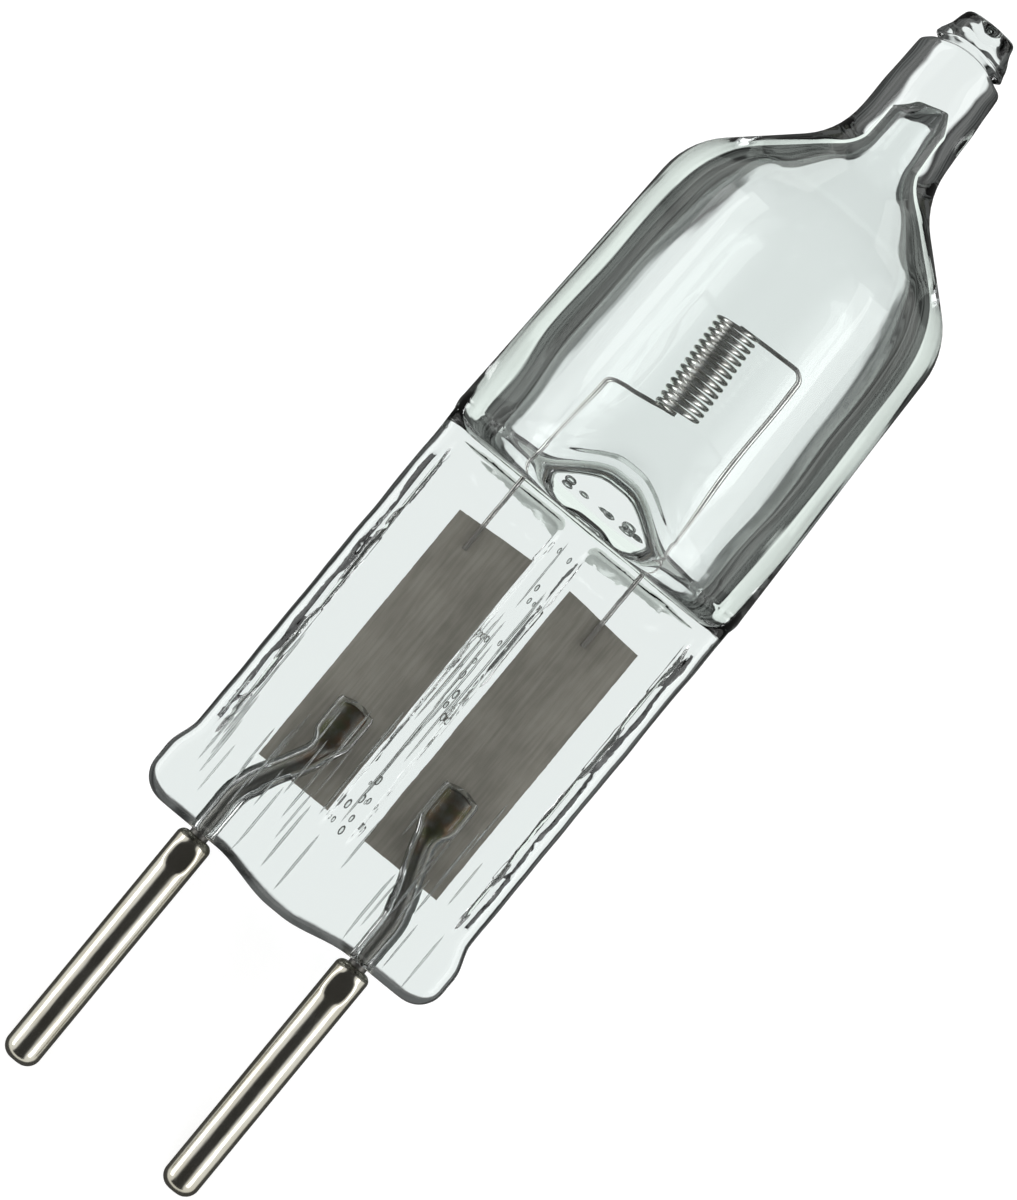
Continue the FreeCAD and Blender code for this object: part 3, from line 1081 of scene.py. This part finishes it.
    def worked(self, skin: Shell) -> Shell:
        """Adds what pressing and melting leave: panels, heel, drift of the tip and gentle waves.

        Args:
            skin: the outside as it would be without them.

        Returns:
            The same faces on moved points.
        """
        x, y, z = skin.points.T.copy()
        y = y - np.sign(y) * self.panels(skin.points)
        heel = 1 - smooth_step(self.heel_half * self.heel_flat, self.heel_half, np.abs(x - self.heel_shift))
        z = z - self.heel_depth * heel * (1 - smooth_step(0.0, self.heel_reach, z))
        lift = smooth_step(self.rim_z - self.rim_lift_start, self.rim_z, z)
        lift = lift * (1 - smooth_step(self.rim_z + self.lip_round, self.tip_z, z))
        z = z + self.rim_lift * lift * np.clip(y / self.neck_radius, -1, 1) ** 2
        x = x - self.drift(z)
        points = np.stack([x, y, z], axis=1)
        melted = smooth_step(self.neck_z - self.melted_start, self.rim_z, z)
        pressed = 1 - smooth_step(*stretch_at(self.pinch_height, self.pressed_fade), z)
        tip = smooth_step(self.rim_z - self.tip_fade, self.rim_z + self.tip_fade, z)
        depth = self.blown_waves.at(points) * (1 + self.melting * melted)
        depth += self.pressed_waves.at(points) * pressed
        depth += self.melted_waves.at(points) * melted
        depth += self.tip_waves.at(points) * tip
        girth = np.maximum(np.hypot(x, y), self.wave_girth)
        inwards = np.stack([x, y, np.zeros_like(x)], axis=1) / girth[:, None]
        return Shell(points - inwards * depth[:, None], skin.faces)

    def panels(self, points: np.ndarray) -> np.ndarray:
        """How deep the pressed panels are at each point.

        Args:
            points: places on the outside, as rows.

        Returns:
            A depth for each point.
        """
        x, _, z = points.T
        top = self.pinch_height - self.panel_margin
        inner, outer = self.centre_rib / 2, self.pinch_half - self.side_rim
        across = np.abs(np.abs(x) - (inner + outer) / 2) - (outer - inner) / 2 + self.panel_corner
        upwards = np.abs(z - (self.panel_foot + top) / 2) - (top - self.panel_foot) / 2 + self.panel_corner
        reach = np.hypot(np.clip(across, 0, None), np.clip(upwards, 0, None))
        distance = reach + np.minimum(np.maximum(across, upwards), 0) - self.panel_corner
        distance = distance + self.panel_waves.at(points) - self.panel_waves.depth / 2
        sunk = self.panel_depth * smooth_step(*stretch_at(self.panel_foot, self.panel_foot_fade), z)
        sunk = sunk * (1 - self.panel_top_share * smooth_step(top - self.panel_top_run, top, z))
        return sunk * (1 - smooth_step(*self.panel_edge, distance))

    def round_wall(self, z: np.ndarray) -> np.ndarray:
        """Radius of the gas space at each height from its floor to the neck, were it round all the way.

        Args:
            z: heights, rising.

        Returns:
            A radius for each height.
        """
        outer = self.bulb_line()
        rising = outer[: np.argmax(outer[:, 1])]
        stops = (*stretch_at(self.shoulder_z, self.shoulder_ends), *stretch_at(self.neck_z, self.neck_ends))
        wall = np.interp(z, stops, [self.bulb_wall, self.shoulder_wall, self.shoulder_wall, self.neck_wall])
        padded = np.pad(wall, self.wall_window // 2, "edge")
        smooth = np.convolve(padded, np.ones(self.wall_window) / self.wall_window, "valid")
        return np.interp(z, rising[:, 1], rising[:, 0]) - smooth

    def gas_sections(self) -> np.ndarray:
        """The gas space's oval sections from floor to bore's end, as height, half width and half depth.

        Returns:
            The sections as rows, from the floor up.
        """
        turn = np.radians(np.linspace(self.fillet_start, 90, self.fillet_rows))
        rising = crowded(self.floor_z + self.floor_round, self.neck_z + self.bore_foot, self.gas_rows,
                         [self.floor_z + self.fold_height], *self.gas_crowding)
        z = np.concatenate([self.floor_z + self.floor_round * (1 - np.cos(turn)), rising[1:]])
        girth = self.round_wall(z)
        narrower = 1 - smooth_step(self.floor_z, self.flare_top, z)
        fold = self.fold_depth * np.exp(-((z - self.floor_z - self.fold_height) / self.fold_width) ** 2)
        lowest = np.clip((z - self.floor_z) / self.floor_round, 0, 1)
        fillet = self.floor_round * (1 - np.sqrt(1 - (1 - lowest) ** 2))
        half = girth - self.side_inset * narrower - fillet * self.floor_side_share
        depth = girth - self.depth_inset * narrower - fold - fillet
        across = np.linspace(self.smallest_inset, depth[0], self.inset_rows)[:-1]
        bore_end = self.rim_z - self.bore_margin
        bore = rounded_line([
            ((girth[-1], z[-1]), 0),
            ((self.bore_end_radius, bore_end - self.bore_end_taper), self.bore_end_round),
            ((self.bore_end_radius * self.bore_end_share, bore_end), self.bore_top_round),
            ((self.bore_gap, bore_end + self.thin), 0),
        ], self.bore_step)[1:]
        low = np.stack([np.full_like(across, self.floor_z), half[0] - self.floor_dip * across[::-1], across],
                       axis=1)
        middle = np.stack([z, half, depth], axis=1)
        return np.concatenate([low, middle, np.stack([bore[:, 1], bore[:, 0], bore[:, 0]], axis=1)])

    def gas_space(self) -> Shell:
        """The gas space's wall: round above, narrower below, with a mound across its floor.

        Returns:
            A closed shell whose faces point into the gas.
        """
        heights, half, depth = self.gas_sections().T

        def distance(x: np.ndarray, y: np.ndarray) -> np.ndarray:
            """From an oval outline."""
            return np.hypot(x / half[:, None], y / depth[:, None]) - 1

        even = np.tile(np.linspace(0, 1, self.gas_quarter + 1), (len(heights), 1))
        rings = outlines(distance, half, depth, heights, even)
        seam = rings[:1] * np.array([1.0, 0.0, 1.0])
        space = loft(np.concatenate([seam, rings]), Closing.SEAM, Closing.POINT)
        x, y, z = space.points.T
        bore = smooth_step(self.neck_z + self.bore_slant_start, self.rim_z - self.bore_margin, z)
        mound = self.mound_height * (1 - smooth_step(self.mound_flat, self.mound_half, np.abs(x)))
        lifted = mound * (1 - smooth_step(self.floor_z, self.floor_z + self.mound_reach, z))
        z = z + lifted + self.bore_slant * x * bore
        x = x - self.drift(z) + self.bore_shift * bore
        space = Shell(np.stack([x, y, z], axis=1), space.faces)
        narrower = 1 - self.gas_waves.at(space.points) - self.ridge_depth * self.draw_lines(x, y)
        space.points[:, :2] *= narrower[:, None]
        return space.inside_out()

    def draw_lines(self, x: np.ndarray, y: np.ndarray) -> np.ndarray:
        """Faint ridges along the tube that it was drawn with, from 0 to 1."""
        turn = np.arctan2(y, x)
        lines = [np.sin(count * turn + start) for count, start in self.ridges]
        return 0.5 + sum(lines) / (2 * len(lines))


@dataclass
class OuterLead:
    """A lead from its contact pin up through the pinch's foot, with a flattened end on its foil."""

    foil_x: float
    pin_x: float
    radius: float = 0.325
    foot_z: float = -6.15
    straight_z: float = 1.75
    blade_foot: float = 4.95
    blade_neck: float = 0.7
    head_z: float = 6.1
    bend: float = 1.6
    blade_half: float = 0.55
    blade_depth: float = 0.17
    blade_round: float = 0.2
    foil_face: float = 0.02
    foil_foot: float = 2.95
    foil_margin: float = 0.2
    step: float = 0.14
    smallest: float = 0.04
    segments: int = 32

    def shape(self, gap: float, foot_z: float, funnel: "QuartzEnvelope | None" = None) -> Shell:
        """The lead, or the room that it takes.

        Args:
            gap: how far the surface stands off the lead.
            foot_z: height where it starts.
            funnel: the envelope whose funnel the room opens into.

        Returns:
            A closed shell.
        """
        lean = self.foil_face + self.radius
        neck = self.blade_foot - self.blade_neck
        path = rounded_line([
            ((self.pin_x, 0.0, foot_z), 0),
            ((self.pin_x, 0.0, self.straight_z), self.bend),
            ((self.foil_x, -lean, neck), self.bend),
            ((self.foil_x, -lean, self.blade_foot), 0),
            ((self.foil_x, -lean, self.head_z + gap), 0),
        ], self.step)
        z = path[:, 2]
        flat = smooth_step(neck, self.blade_foot, z)
        half = self.radius + (self.blade_half - self.radius) * flat + gap
        depth = self.radius + (self.blade_depth - self.radius) * flat + gap
        path[:, 1] += (lean - self.foil_face - self.blade_depth) * flat
        left = np.clip((self.head_z + gap - z) / self.blade_round, self.smallest, 1)
        ending = np.sqrt(1 - (1 - left) ** 2)
        half, depth = half * ending, depth * (1 + ending) / 2
        if funnel:
            flare = np.clip(funnel.funnel_depth - z, 0, None) / funnel.funnel_depth
            wider = (funnel.funnel_radius - self.radius - gap) * flare
            half, depth = half + wider, depth + wider
        rings = []
        for i, centre in enumerate(path):
            ahead = unit(path[min(i + 1, len(path) - 1)] - path[max(i - 1, 0)])
            out = unit(np.cross(ahead, np.array([1.0, 0.0, 0.0])))
            across = np.cross(out, ahead)
            turn = np.linspace(0, 2 * math.pi, self.segments, endpoint=False)[:, None]
            rings.append(centre + across * half[i] * np.cos(turn) + out * depth[i] * np.sin(turn))
        rings = np.array(rings)
        on_foil = rings[..., 2] > self.foil_foot - self.foil_margin
        rings[..., 1] = np.where(on_foil, np.minimum(rings[..., 1], -self.foil_face), rings[..., 1])
        return loft(rings, Closing.POINT, Closing.POINT)


@dataclass
class ContactPin:
    """A closed nickel sleeve with a rounded end, crimped on its lead."""

    x: float
    radius: float = 0.625
    bore: float = 0.335
    reach: float = 9.1
    gap: float = 0.15
    end_round: float = 0.48
    mouth_round: float = 0.27
    bore_depth: float = 6.0
    crimp_top: float = 0.38
    crimp_length: float = 0.88
    crimp_depth: float = 0.13
    crimp_fade: Pair = (0.5, 1.12)
    crimp_ends: Pair = (1.15, 1.05)
    crimp_blend: float = 0.12
    edge_gap: float = 0.05
    axis_gap: float = 0.02
    step: float = 0.12
    segments: int = 72

    def shape(self) -> Shell:
        """The sleeve, with a flat pressed in front and back.

        Returns:
            A closed shell in upright millimetres.
        """
        top = -self.gap - self.crimp_top
        shifts = (-self.edge_gap, 0.0, self.edge_gap)
        edges = [edge + shift for edge in (top - self.crimp_length, top) for shift in shifts]
        outline = rounded_line([
            ((self.axis_gap, -self.reach), 0),
            ((self.radius, -self.reach), self.end_round),
            *[((self.radius, edge), 0) for edge in edges],
            ((self.radius, -self.gap), self.mouth_round),
            ((self.bore, -self.gap), 0),
            ((self.bore, -self.gap - self.bore_depth), 0),
            ((self.axis_gap, -self.gap - self.bore_depth), 0),
        ], self.step)
        turn = np.linspace(0, 2 * math.pi, self.segments, endpoint=False)
        circle = np.stack([np.cos(turn), np.sin(turn)], axis=1)
        rings = np.zeros((len(outline), self.segments, 3))
        rings[..., :2] = outline[:, None, :1] * circle
        rings[..., 2] = outline[:, None, 1]
        x, y, z = rings[..., 0], rings[..., 1], rings[..., 2]
        away = np.abs(z - top + self.crimp_length / 2) / (self.crimp_length / 2)
        flat = self.radius - self.crimp_depth * (1 - smooth_step(*self.crimp_fade, away))
        pressed = smooth_step(*self.crimp_ends, away)
        y[:] += (np.sign(y) * smooth_min(np.abs(y), flat, self.crimp_blend) - y) * pressed
        x += self.x
        return loft(rings, Closing.POINT, Closing.POINT)


@dataclass
class FoilStrip:
    """A thin foil sealed in the pinch, with feathered long sides and a slightly slanted top."""

    x: float
    side: int
    width: float = 2.9
    foot_z: float = 2.95
    head_z: float = 13.05
    thickness: float = 0.04
    feather: float = 0.35
    slant: float = 0.22
    wave: float = 0.0048
    wave_turn: Pair = (2.1, 1.3)
    thinnest: float = 0.05
    columns: int = 28
    rows: int = 60

    def shape(self) -> Shell:
        """The foil as one closed, gently rippled strip.

        Returns:
            A closed shell in upright millimetres.
        """
        half = self.width / 2
        around = np.linspace(-1, 1, self.columns)
        front = np.stack([around, np.full(self.columns, -1.0)], axis=1)
        back = np.stack([-around[1:-1], np.ones(self.columns - 2)], axis=1)
        loop = np.concatenate([front, back])
        rings = []
        for share in np.linspace(0, 1, self.rows):
            across = loop[:, 0] * half
            slope = self.slant * self.side * loop[:, 0]
            head = self.head_z - self.slant / 2 - slope / 2
            z = self.foot_z + (head - self.foot_z) * share
            thick = self.thickness / 2 * np.clip((half - np.abs(across)) / self.feather, self.thinnest, 1)
            ripple = self.wave * np.sin(z * self.wave_turn[0] + across * self.wave_turn[1] + self.side)
            rings.append(np.stack([self.x + across, loop[:, 1] * thick + ripple, z], axis=1))
        return loft(np.array(rings), Closing.POINT, Closing.POINT)


@dataclass
class Filament:
    """One tungsten wire: a coil, and the two legs that carry it."""

    wire: float = 0.16
    coil_radius: float = 0.71
    pitch: float = 0.24
    turns: int = 14
    centre_z: float = 21.04
    shift: float = -0.2
    lean: float = 2.9
    leg_spacing: float = 4.75
    leg_shift: float = -0.1
    leg_droop: float = 0.07
    bend: float = 0.35
    entry_bend: float = 1.2
    entry_z: float = 16.15
    end_z: float = 11.95
    foil_face: float = 0.02
    wire_sides: int = 12
    coil_steps: int = 40
    bend_steps: int = 10

    def leg_lines(self) -> tuple[list[Triple], list[float], list[tuple[int, int]]]:
        """The two legs as corners with a bend radius each, and the lines between them.

        Returns:
            The corners, the bend radius at each, and the pairs of corners that lines join.
        """
        lean = math.radians(self.lean)
        points, bends, lines = [], [], []
        for side in SIDES.values():
            rise = side * self.pitch * self.turns / 2
            start_x = self.shift - rise * math.sin(lean)
            start_z = self.centre_z + rise * math.cos(lean)
            leg_x = self.leg_shift + side * self.leg_spacing / 2
            slope = self.pitch / (2 * math.pi * self.coil_radius) + math.tan(lean) - side * self.leg_droop
            plane = -self.foil_face - self.wire / 2
            first = len(points)
            points += [(start_x, self.coil_radius, start_z),
                       (leg_x, self.coil_radius, start_z + abs(leg_x - start_x) * side * slope),
                       (leg_x, plane, self.entry_z), (leg_x, plane, self.end_z)]
            bends += [0.0, self.bend, self.entry_bend, 0.0]
            lines += [(first + i, first + i + 1) for i in range(3)]
        return points, bends, lines

    def tree(self, material: bpy.types.Material) -> FormTree:
        """Coils one wire and thickens its legs, all in upright millimetres.

        Args:
            material: the wire's material.

        Returns:
            The tree, which works on the legs' lines.
        """
        form = FormTree("filament_form")
        wire = form.named("Wire radius", "Float", self.wire / 2)
        turns = form.named("Turns", "Float", float(self.turns))
        radius = form.named("Coil radius", "Float", self.coil_radius)
        height = form.named("Coil height", "Float", self.pitch * self.turns)
        centre = form.named("Coil foot", "Vector", (self.shift, 0.0, self.centre_z))
        lean = form.named("Lean", "Vector", (0.0, -math.radians(self.lean), 0.0))
        finish = form.named("Finish", "Material", material)
        circle = {"Resolution": self.wire_sides, "Radius": wire}
        profile = form.node("GeometryNodeCurvePrimitiveCircle", {}, circle)
        spiral = form.node("GeometryNodeCurveSpiral", {}, {
            "Resolution": self.coil_steps, "Rotations": turns, "Start Radius": radius, "End Radius": radius,
            "Height": height, "Reverse": True})
        down = form.node("ShaderNodeCombineXYZ", {}, {"Z": height * -0.5})
        centred = form.node("GeometryNodeTransform", {}, {
            "Geometry": spiral, "Translation": down, "Rotation": (0.0, 0.0, math.pi / 2)})
        leaning = form.node("GeometryNodeTransform", {}, {
            "Geometry": centred, "Translation": centre, "Rotation": lean})
        bend = form.node("GeometryNodeInputNamedAttribute", {"data_type": "FLOAT"}, {"Name": "bend"})
        legs = form.node("GeometryNodeMeshToCurve", {}, {"Mesh": form.geometry()})
        legs = form.node("GeometryNodeFilletCurve", {"mode": "POLY"}, {
            "Curve": legs, "Count": self.bend_steps, "Radius": bend, "Limit Radius": True})
        line = form.node("GeometryNodeJoinGeometry", {}, {"Geometry": [leaning, legs]})
        tube = form.node("GeometryNodeCurveToMesh", {}, {
            "Curve": line, "Profile Curve": profile, "Fill Caps": True})
        form.done(tube, finish)
        return form

    def piece(self, place: Placement, material: bpy.types.Material) -> bpy.types.Object:
        """Grows the wire from its legs' lines and lays it down in the frame.

        Args:
            place: where the lamp lies.
            material: the wire's material.

        Returns:
            The finished wire.
        """
        points, bends, lines = self.leg_lines()
        mesh = bpy.data.meshes.new("filament_lines")
        mesh.from_pydata(points, lines, [])
        mesh.attributes.new("bend", "FLOAT", "POINT").data.foreach_set("value", bends)
        return object_from(self.tree(material).grow(mesh), "filament_wire", place)


@dataclass
class BubbleBed:
    """Small voids and drawn-out air lines that pressing leaves in the quartz."""

    name: str
    count: int
    low: Triple
    high: Triple
    smallest: float
    largest: float
    stretch: Triple
    seed: int
    subdivisions: int = 2

    def tree(self, material: bpy.types.Material) -> FormTree:
        """Scatters voids in a box, with their faces towards the gas in them.

        Args:
            material: the quartz's material.

        Returns:
            The tree, which needs no mesh to work on.
        """
        form = FormTree(self.name + "_form")
        count, low, high, smallest, largest, stretch, seed, subdivisions, finish = (
            form.named(name, kind, value) for name, kind, value in (
                ("Count", "Int", self.count), ("Low corner", "Vector", self.low),
                ("High corner", "Vector", self.high), ("Smallest", "Float", self.smallest),
                ("Largest", "Float", self.largest), ("Stretch", "Vector", self.stretch),
                ("Seed", "Int", self.seed), ("Subdivisions", "Int", self.subdivisions),
                ("Finish", "Material", material)))
        spot = form.node("FunctionNodeRandomValue", {"data_type": "FLOAT_VECTOR"},
                         {"Min": low, "Max": high, "Seed": seed})
        size = form.node("FunctionNodeRandomValue", {"data_type": "FLOAT"},
                         {"Min": smallest, "Max": largest, "Seed": seed})
        scale = form.node("ShaderNodeVectorMath", {"operation": "SCALE"}, {"Vector": stretch, "Scale": size})
        points = form.node("GeometryNodePoints", {}, {"Count": count, "Position": spot})
        ball = form.node("GeometryNodeMeshIcoSphere", {}, {"Radius": 1.0, "Subdivisions": subdivisions})
        placed = {"Points": points, "Instance": ball, "Scale": scale}
        voids = form.node("GeometryNodeInstanceOnPoints", {}, placed)
        real = form.node("GeometryNodeRealizeInstances", {}, {"Geometry": voids})
        form.done(form.node("GeometryNodeFlipFaces", {}, {"Mesh": real}), finish)
        return form

    def shell(self, material: bpy.types.Material) -> Shell:
        """The voids as one shell in upright millimetres."""
        return self.tree(material).grow(bpy.data.meshes.new(self.name))


BEDS = (
    BubbleBed("floor_bubbles", count=18, low=(-1.15, -0.8, 15.3), high=(1.3, 0.6, 15.7),
              smallest=0.05, largest=0.17, stretch=(1.3, 0.8, 0.8), seed=5, subdivisions=3),
    BubbleBed("rib_bubbles", count=26, low=(-0.34, -1.1, 2.6), high=(0.5, -0.2, 14.2),
              smallest=0.035, largest=0.085, stretch=(1.0, 0.8, 2.2), seed=8),
    BubbleBed("edge_bubbles", count=8, low=(-5.12, -0.5, 9.1), high=(-5.0, 0.5, 11.4),
              smallest=0.08, largest=0.17, stretch=(0.5, 0.8, 1.8), seed=3, subdivisions=3),
    BubbleBed("air_lines", count=44, low=(-5.0, -1.2, 1.2), high=(5.0, -0.6, 6.0),
              smallest=0.026, largest=0.048, stretch=(1.0, 1.0, 26.0), seed=14),
    BubbleBed("rib_lines", count=18, low=(-0.42, -1.2, 4.0), high=(0.56, -0.3, 13.0),
              smallest=0.028, largest=0.045, stretch=(1.0, 1.0, 42.0), seed=31),
)


def carved(skin: Shell, rooms: Shell) -> Shell:
    """A closed skin with closed rooms cut out of it.

    Args:
        skin: the outside.
        rooms: what is cut away, which may reach past the skin.

    Returns:
        The shell that is left.
    """
    objects = []
    for name, shell in (("skin", skin), ("rooms", rooms)):
        mesh = bpy.data.meshes.new(name)
        mesh.from_pydata(shell.points.tolist(), [], shell.faces)
        mesh.validate()
        objects.append(added(name, mesh))
    body, tool = objects
    weld = body.modifiers.new("weld", "WELD")
    weld.merge_threshold = WELD
    cut = body.modifiers.new("cut", "BOOLEAN")
    cut.operation = "DIFFERENCE"
    cut.solver = "MANIFOLD"
    cut.object = tool
    shell = worked_shell(body)
    for obj in objects:
        bpy.data.objects.remove(obj)
    return shell


# The studio


def set_up(spot: Vector, across: Vector, upwards: Vector, back: Vector) -> Matrix:
    """Stands something at a spot, with its three axes along the given directions."""
    return Matrix.Translation(spot) @ Matrix((across, upwards, back)).transposed().to_4x4()


@dataclass(frozen=True)
class Studio:
    """A plain white table, a white room, and two long soft lamps along the bulb."""

    focus_z: float = 11.62
    focus_x: float = -0.42
    frame_height: float = 37.15
    distance: float = 310.0
    sensor: float = 36.0
    axis_turn: float = 50.5
    clip: Pair = (0.01, 10.0)
    lamp_angles: Pair = (70.0, 61.0)
    lamp_distance: float = 260.0
    lamp_width: float = 95.0
    lamp_length: float = 320.0
    lamp_power: float = 0.18
    room_level: float = 0.85
    room_sides: Pair = (0.44, 0.64)
    room_dark: float = 0.045
    room_bright: float = 0.9
    room_lost: float = 0.8
    trapped_dark: float = 0.1
    trapped_bright: float = 0.75
    one_pass: float = 0.5
    trapped_passes: float = 3.5
    table_half: float = 600.0
    table_drop: float = 0.01
    table_colour: Colour = (0.55, 0.55, 0.55)
    table_glow: float = 0.62
    mirrored_tint: Colour = (1.0, 1.0, 0.97)
    mirrored_dark: float = 0.07
    mirrored_bright: float = 0.85
    mirrored_range: Pair = (0.6, 0.78)
    bent_tint: Colour = (0.915, 0.945, 0.937)
    trapped_tint: Colour = (0.93, 1.0, 0.95)
    bent_range: Pair = (0.1, 0.14)
    bent_lost: float = 0.985
    streak_share: float = 0.13
    streak_size: float = 1.3
    streak_stretch: Triple = (1.0, 0.05, 1.0)
    streak_range: Pair = (0.35, 0.65)

    def camera(self, place: Placement) -> None:
        """Looks square on the pinch, turned so that the axis rises to the right.

        Args:
            place: where the lamp lies.
        """
        right, up = place.direction((1, 0, 0)), place.direction((0, 0, 1))
        out = place.direction((0, -1, 0))
        turn = math.radians(self.axis_turn)
        across = up * math.cos(turn) + right * math.sin(turn)
        upwards = up * math.sin(turn) - right * math.cos(turn)
        focus = place.spot((self.focus_x, 0.0, self.focus_z))
        data = bpy.data.cameras.new("camera")
        data.sensor_width = self.sensor
        data.lens = self.sensor * self.distance / self.frame_height
        data.clip_start, data.clip_end = self.clip
        camera = added("camera", data)
        camera.matrix_world = set_up(focus + out * self.distance * MM, across, upwards, out)
        bpy.context.scene.camera = camera

    def lamps(self, place: Placement) -> None:
        """One long soft lamp on each side of the bulb, in line with it.

        Args:
            place: where the lamp lies.
        """
        middle = place.spot((0.0, 0.0, self.focus_z))
        for (name, side), degrees in zip(SIDES.items(), self.lamp_angles):
            angle = math.radians(degrees)
            back = Vector((side * math.sin(angle), 0, math.cos(angle)))
            data = bpy.data.lights.new("soft_lamp_" + name, "AREA")
            data.shape = "RECTANGLE"
            data.size = self.lamp_width * MM
            data.size_y = self.lamp_length * MM
            data.energy = self.lamp_power
            lamp = added("soft_lamp_" + name, data)
            along = Vector((0, 1, 0))
            spot = middle + back * self.lamp_distance * MM
            lamp.matrix_world = set_up(spot, along.cross(back), along, back)
            lamp.visible_camera = False

    def table(self) -> None:
        """A white table with the lamp's soft shadow, which mirrored and bent light see as the studio's."""
        half = self.table_half * MM
        mesh = bpy.data.meshes.new("table")
        corners = [(-half, -half), (half, -half), (half, half), (-half, half)]
        mesh.from_pydata([(x, y, -self.table_drop * MM) for x, y in corners], [], [(0, 1, 2, 3)])
        added("table", mesh)
        finish = Finish("white_table")
        path = finish.node("ShaderNodeLightPath")
        through = path.out("Is Transmission Ray")
        bounced = path.out("Glossy Depth") > self.one_pass
        inside = path.out("Transmission Depth") > self.one_pass
        mirrored = path.out("Is Glossy Ray")
        facing = finish.node("ShaderNodeLayerWeight", {}, {"Blend": 0.5}).out("Facing")
        plain = finish.node("ShaderNodeBsdfDiffuse", {}, {"Color": self.table_colour})
        white = finish.node("ShaderNodeAddShader", {}, {
            0: plain, 1: finish.glow((1.0, 1.0, 1.0), self.table_glow)})
        level = self.mirrored_dark + facing.between(*self.mirrored_range) * self.mirrored_bright
        white = finish.mix(mirrored, white, finish.glow(self.mirrored_tint, level))
        streaks = finish.noise(self.streak_size, 2.0, self.streak_stretch).between(*self.streak_range)
        seen = 1 - facing.between(*self.bent_range) * (self.bent_lost - streaks * self.streak_share)
        shader = finish.mix(through, white, finish.glow(self.bent_tint, seen))
        shader = finish.mix(bounced * inside, shader, finish.glow(self.trapped_tint, seen))
        mesh.materials.append(finish.done(shader))

    def room(self, place: Placement) -> None:
        """A white room, of which shiny things mirror the two bright sides.

        Args:
            place: where the lamp lies.
        """
        world = bpy.data.worlds.new("room")
        bpy.context.scene.world = world
        world.use_nodes = True
        world.node_tree.nodes.clear()
        graph = Graph(world.node_tree)
        path = graph.node("ShaderNodeLightPath")
        towards = graph.node("ShaderNodeTexCoord").out("Generated")
        aside = graph.dot(towards, tuple(place.direction((1.0, 0.0, 0.0))))
        sides = graph.maths("ABSOLUTE", aside, 0.0).between(*self.room_sides)
        inside = path.out("Transmission Depth") > self.one_pass
        bounced = path.out("Glossy Depth") > self.one_pass
        shining = (self.room_dark + sides * self.room_bright) * (1 - inside * bounced * self.room_lost)
        straight = path.out("Is Transmission Ray") * (1 - bounced)
        seen = graph.maths("MAXIMUM", path.out("Is Camera Ray"), straight)
        level = shining * path.out("Is Glossy Ray") + self.room_level * path.out("Is Diffuse Ray")
        level = graph.maths("MAXIMUM", level, seen)
        passed = path.out("Transmission Depth") > self.trapped_passes
        trapped = self.trapped_dark + passed * sides * self.trapped_bright
        level = graph.maths("MAXIMUM", level, path.out("Is Transmission Ray") * bounced * trapped)
        glow = graph.node("ShaderNodeBackground", {}, {"Color": (1.0, 1.0, 1.0), "Strength": level})
        graph.node("ShaderNodeOutputWorld", {}, {"Surface": glow})

    def build(self, place: Placement) -> None:
        """Sets the whole studio up.

        Args:
            place: where the lamp lies.
        """
        self.room(place)
        self.table()
        self.lamps(place)
        self.camera(place)
        bpy.context.scene.view_settings.view_transform = "Standard"


@dataclass
class HalogenCapsule:
    """The whole lamp."""

    pin_pitch: float = 6.35
    foil_spacing: float = 4.22
    foil_shift: float = 0.2
    pin_mouth: float = 0.37
    room_foot: float = -0.62

    def envelope(self, place: Placement, leads: list[OuterLead]) -> None:
        """Brings in the quartz, with the rooms and voids in it.

        Args:
            place: where the lamp lies.
            leads: the two leads, round which it leaves room.
        """
        quartz = QuartzEnvelope()
        material = Quartz(pinch_height=quartz.pinch_height).material(place)
        rooms = [lead.shape(quartz.capillary_gap, self.room_foot, quartz) for lead in leads]
        skin = carved(quartz.outer_skin(), rooms[0] + rooms[1])
        skin = skin + quartz.gas_space()
        for bed in BEDS:
            skin = skin + bed.shell(material)
        bring_in(object_from(skin, "quartz_glass", place), material, "quartz", "quartz_envelope")

    def build(self) -> None:
        """Builds every piece in order."""
        place = Placement.from_mounts(frame["record"]["mounts"], self.pin_mouth)
        leads = [OuterLead(self.foil_shift + sign * self.foil_spacing / 2, sign * self.pin_pitch / 2)
                 for sign in SIDES.values()]
        self.envelope(place, leads)
        tungsten = Tungsten().material(place)
        bring_in(Filament().piece(place, tungsten), tungsten, "tungsten", "filament")
        nickel = Nickel().material()
        molybdenum = HeatTintWithPaintedReflection().material(place)
        sheet = Foil().material()
        for lead, (side, sign) in zip(leads, SIDES.items()):
            wire = object_from(lead.shape(0.0, lead.foot_z), "lead_wire_" + side, place)
            bring_in(wire, molybdenum, "molybdenum_wire", "outer_lead_" + side)
            strip = object_from(FoilStrip(lead.foil_x, sign).shape(), "foil_strip_" + side, place)
            bring_in(strip, sheet, "molybdenum_foil", "foil_" + side)
            sleeve = object_from(ContactPin(lead.pin_x).shape(), "pin_sleeve_" + side, place)
            bring_in(sleeve, nickel, "nickel", "contact_pin_" + side)
        Studio().build(place)


def main() -> None:
    """Builds the lamp and its studio."""
    logging.basicConfig(level=logging.INFO, format="%(name)s %(message)s")
    HalogenCapsule().build()


if __name__ == "__main__":
    main()
